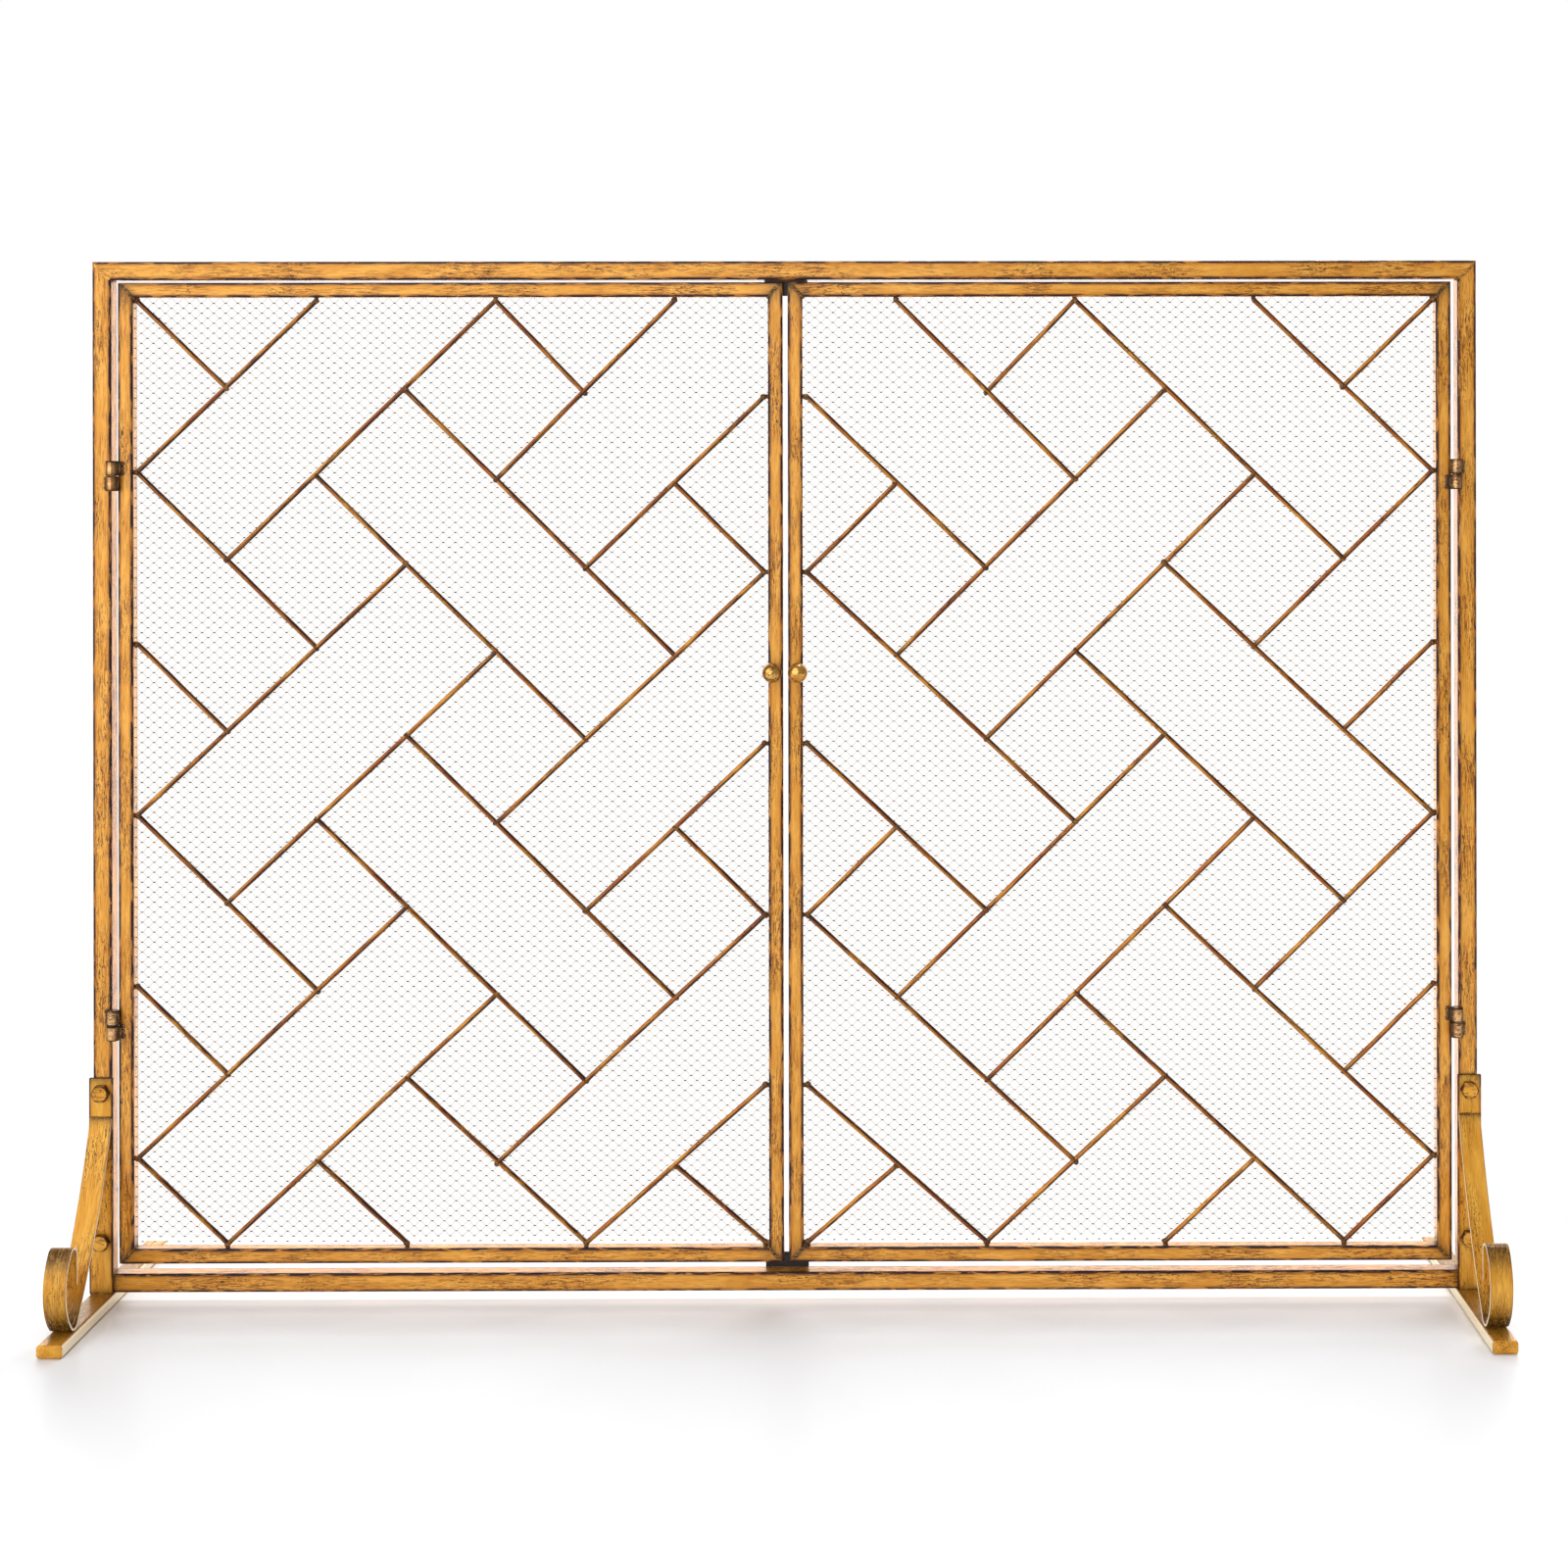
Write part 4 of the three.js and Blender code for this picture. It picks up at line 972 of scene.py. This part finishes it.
def pan_screw(node):
    """Screw head behind the stile: a low dome with a cross recess, and the shank in front of it."""
    low, high = place(node)
    centre = (low + high) / 2
    back = high[1]
    radius = (high[0] - low[0]) / 2
    share = np.concatenate([[1.0, 1.0, 0.97, 0.9], np.linspace(0.8, 0.05, 14)])[:, None]
    angle = np.linspace(0, 2 * math.pi, 64, endpoint=False)[None, :]
    dome = back - 0.5 * MM * share**2
    dome[0] = back - 2.2 * MM
    dome[1] = back - 0.9 * MM
    x = radius * share * np.cos(angle)
    z = radius * share * np.sin(angle)
    arm = np.minimum(np.abs(x), np.abs(z))
    inside = np.clip((0.45 * MM - arm) / (0.15 * MM), 0, 1) * (share < 0.62)
    y = dome - 0.8 * MM * inside
    points = np.stack([centre[0] + x, y, centre[2] + z], -1)
    head = skin(coat(points), "pole")
    shank_length = high[1] - 2.2 * MM - low[1]
    shank = [(1.2 * MM, 0.0), (2.0 * MM, 0.8 * MM), (2.0 * MM, shank_length)]
    return [head, turned(shank, (centre[0], low[1], centre[2]), 1, 20, "flat")]


# Fine woven mesh: thin golden strands that vanish against the light, and a dark dot at every link, partly
# glaze and partly painted shade where the wires hook
mesh_wire = woven_wire("woven_spark_mesh", "#DDBB80", "#120702")

for side, s in SIDES:
    door = f"{side}_door"
    for node, along, outer in (
        (f"{door}_top_rail", 0, 1),
        (f"{door}_bottom_rail", 0, -1),
        (f"{door}_hinge_stile", 2, s),
        (f"{door}_meeting_stile", 2, -s),
    ):
        tube = square_tube(node, along, outer, (1, 1))
        make(f"{node}_tube", [tube], frame_gold, door, "antique_gold", node)
    make(f"{door}_frame_welds", door_welds(side), frame_gold, door, "antique_gold")

    rod_skins, weld_skins = lattice(side, s)
    make(f"{door}_lattice_rods", rod_skins, rod_gold, door, "lattice_gold", f"{door}_lattice")
    make(f"{door}_lattice_welds", weld_skins, rod_gold, door, "lattice_gold")

    for number, part in enumerate(("upper", "middle", "lower")):
        wires = woven_rows(side, number)
        make(f"{door}_{part}_mesh", [wires], mesh_wire, door, "mesh_bronze", f"{door}_mesh_panel")

    face = place(f"{door}_meeting_stile")[0][1]
    knob = ball_knob(f"{door}_knob", face)
    make(f"{door}_ball_knob", [knob], knob_gold, door, "knob_gold", f"{door}_knob")
    screw = pan_screw(f"{door}_knob_screw")
    make(f"{door}_pan_screw", screw, zinc, door, "zinc_plate", f"{door}_knob_screw")

for side, _ in SIDES:
    for level in ("upper", "lower"):
        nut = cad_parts[f"{side}_{level}_leg_nut"]
        nut.data.materials.clear()
        nut.data.materials.append(zinc)


# ---------------------------------------------------------------------------- floor, light and camera

def stage_floor():
    """Plain white floor, faintly glossy, just under the feet."""
    material, tree = blank("white_studio_floor")
    inputs = {"Base Color": linear("#F7F9FC"), "Roughness": 0.5, "Coat Weight": 0.07, "Coat Roughness": 0.08}
    surface(tree, inputs)
    mesh = bpy.data.meshes.new("floor")
    mesh.from_pydata([(x, y, -FLOOR_DROP) for x, y in FLOOR_CORNERS], [], [(0, 1, 2, 3)])
    mesh.materials.append(material)
    floor = bpy.data.objects.new("floor", mesh)
    bpy.context.scene.collection.objects.link(floor)


def soft_light(name, strength, angle, come_from):
    """Light from a wide patch of a distant ceiling or wall, angle degrees across."""
    light = bpy.data.lights.new(name, "SUN")
    light.energy = strength
    light.angle = math.radians(angle)
    made = bpy.data.objects.new(name, light)
    bpy.context.scene.collection.objects.link(made)
    x, y, z = come_from
    made.rotation_euler = (math.atan2(math.hypot(x, y), z), 0, math.atan2(x, -y))
    return made


def backdrop_light():
    """Wide white wall of light behind the screen, which whitens every face seen at a glancing angle."""
    light = bpy.data.lights.new("backdrop", "AREA")
    light.shape = "RECTANGLE"
    light.size, light.size_y = BACKDROP_SIZE
    light.energy = BACKDROP_WATTS
    made = bpy.data.objects.new("backdrop", light)
    bpy.context.scene.collection.objects.link(made)
    made.location = BACKDROP_PLACE
    made.rotation_euler = (math.radians(-90), 0, 0)


def studio_world():
    """White surroundings that look brighter than the light they give."""
    world = bpy.data.worlds.new("white_studio")
    bpy.context.scene.world = world
    world.use_nodes = True
    tree = world.node_tree
    tree.nodes.clear()
    shown = add(tree, "ShaderNodeBackground", {"Color": (1, 1, 1, 1), "Strength": 1.0})
    cast = add(tree, "ShaderNodeBackground", {"Color": (1, 1, 1, 1), "Strength": SURROUNDINGS_GLOW})
    seen = add(tree, "ShaderNodeLightPath").outputs["Is Camera Ray"]
    chosen = add(tree, "ShaderNodeMixShader", {0: seen, 1: cast.outputs[0], 2: shown.outputs[0]})
    add(tree, "ShaderNodeOutputWorld", {"Surface": chosen.outputs[0]})


def studio_camera():
    """Level camera 1.8 m in front of the screen, three quarters of the way up it, shifted to frame it."""
    data = bpy.data.cameras.new("camera")
    data.sensor_width = 36.0
    data.lens = CAMERA_LENS_MM
    data.shift_x, data.shift_y = CAMERA_SHIFT
    data.clip_end = 100.0
    camera = bpy.data.objects.new("camera", data)
    bpy.context.scene.collection.objects.link(camera)
    level = Matrix.Rotation(CAMERA_PAN, 4, "Z") @ Matrix.Rotation(math.radians(90), 4, "X")
    camera.matrix_world = Matrix.Translation(CAMERA_PLACE) @ level @ Matrix.Rotation(CAMERA_ROLL, 4, "Z")
    bpy.context.scene.camera = camera


stage_floor()
backdrop_light()
soft_light("ceiling_light", 1.2, 22, (0.1, 0.3, 1.0))
soft_light("left_light", 1.85, 75, (-0.75, -1.15, 0.5))
studio_world()
studio_camera()
bpy.context.scene.view_settings.view_transform = "Standard"
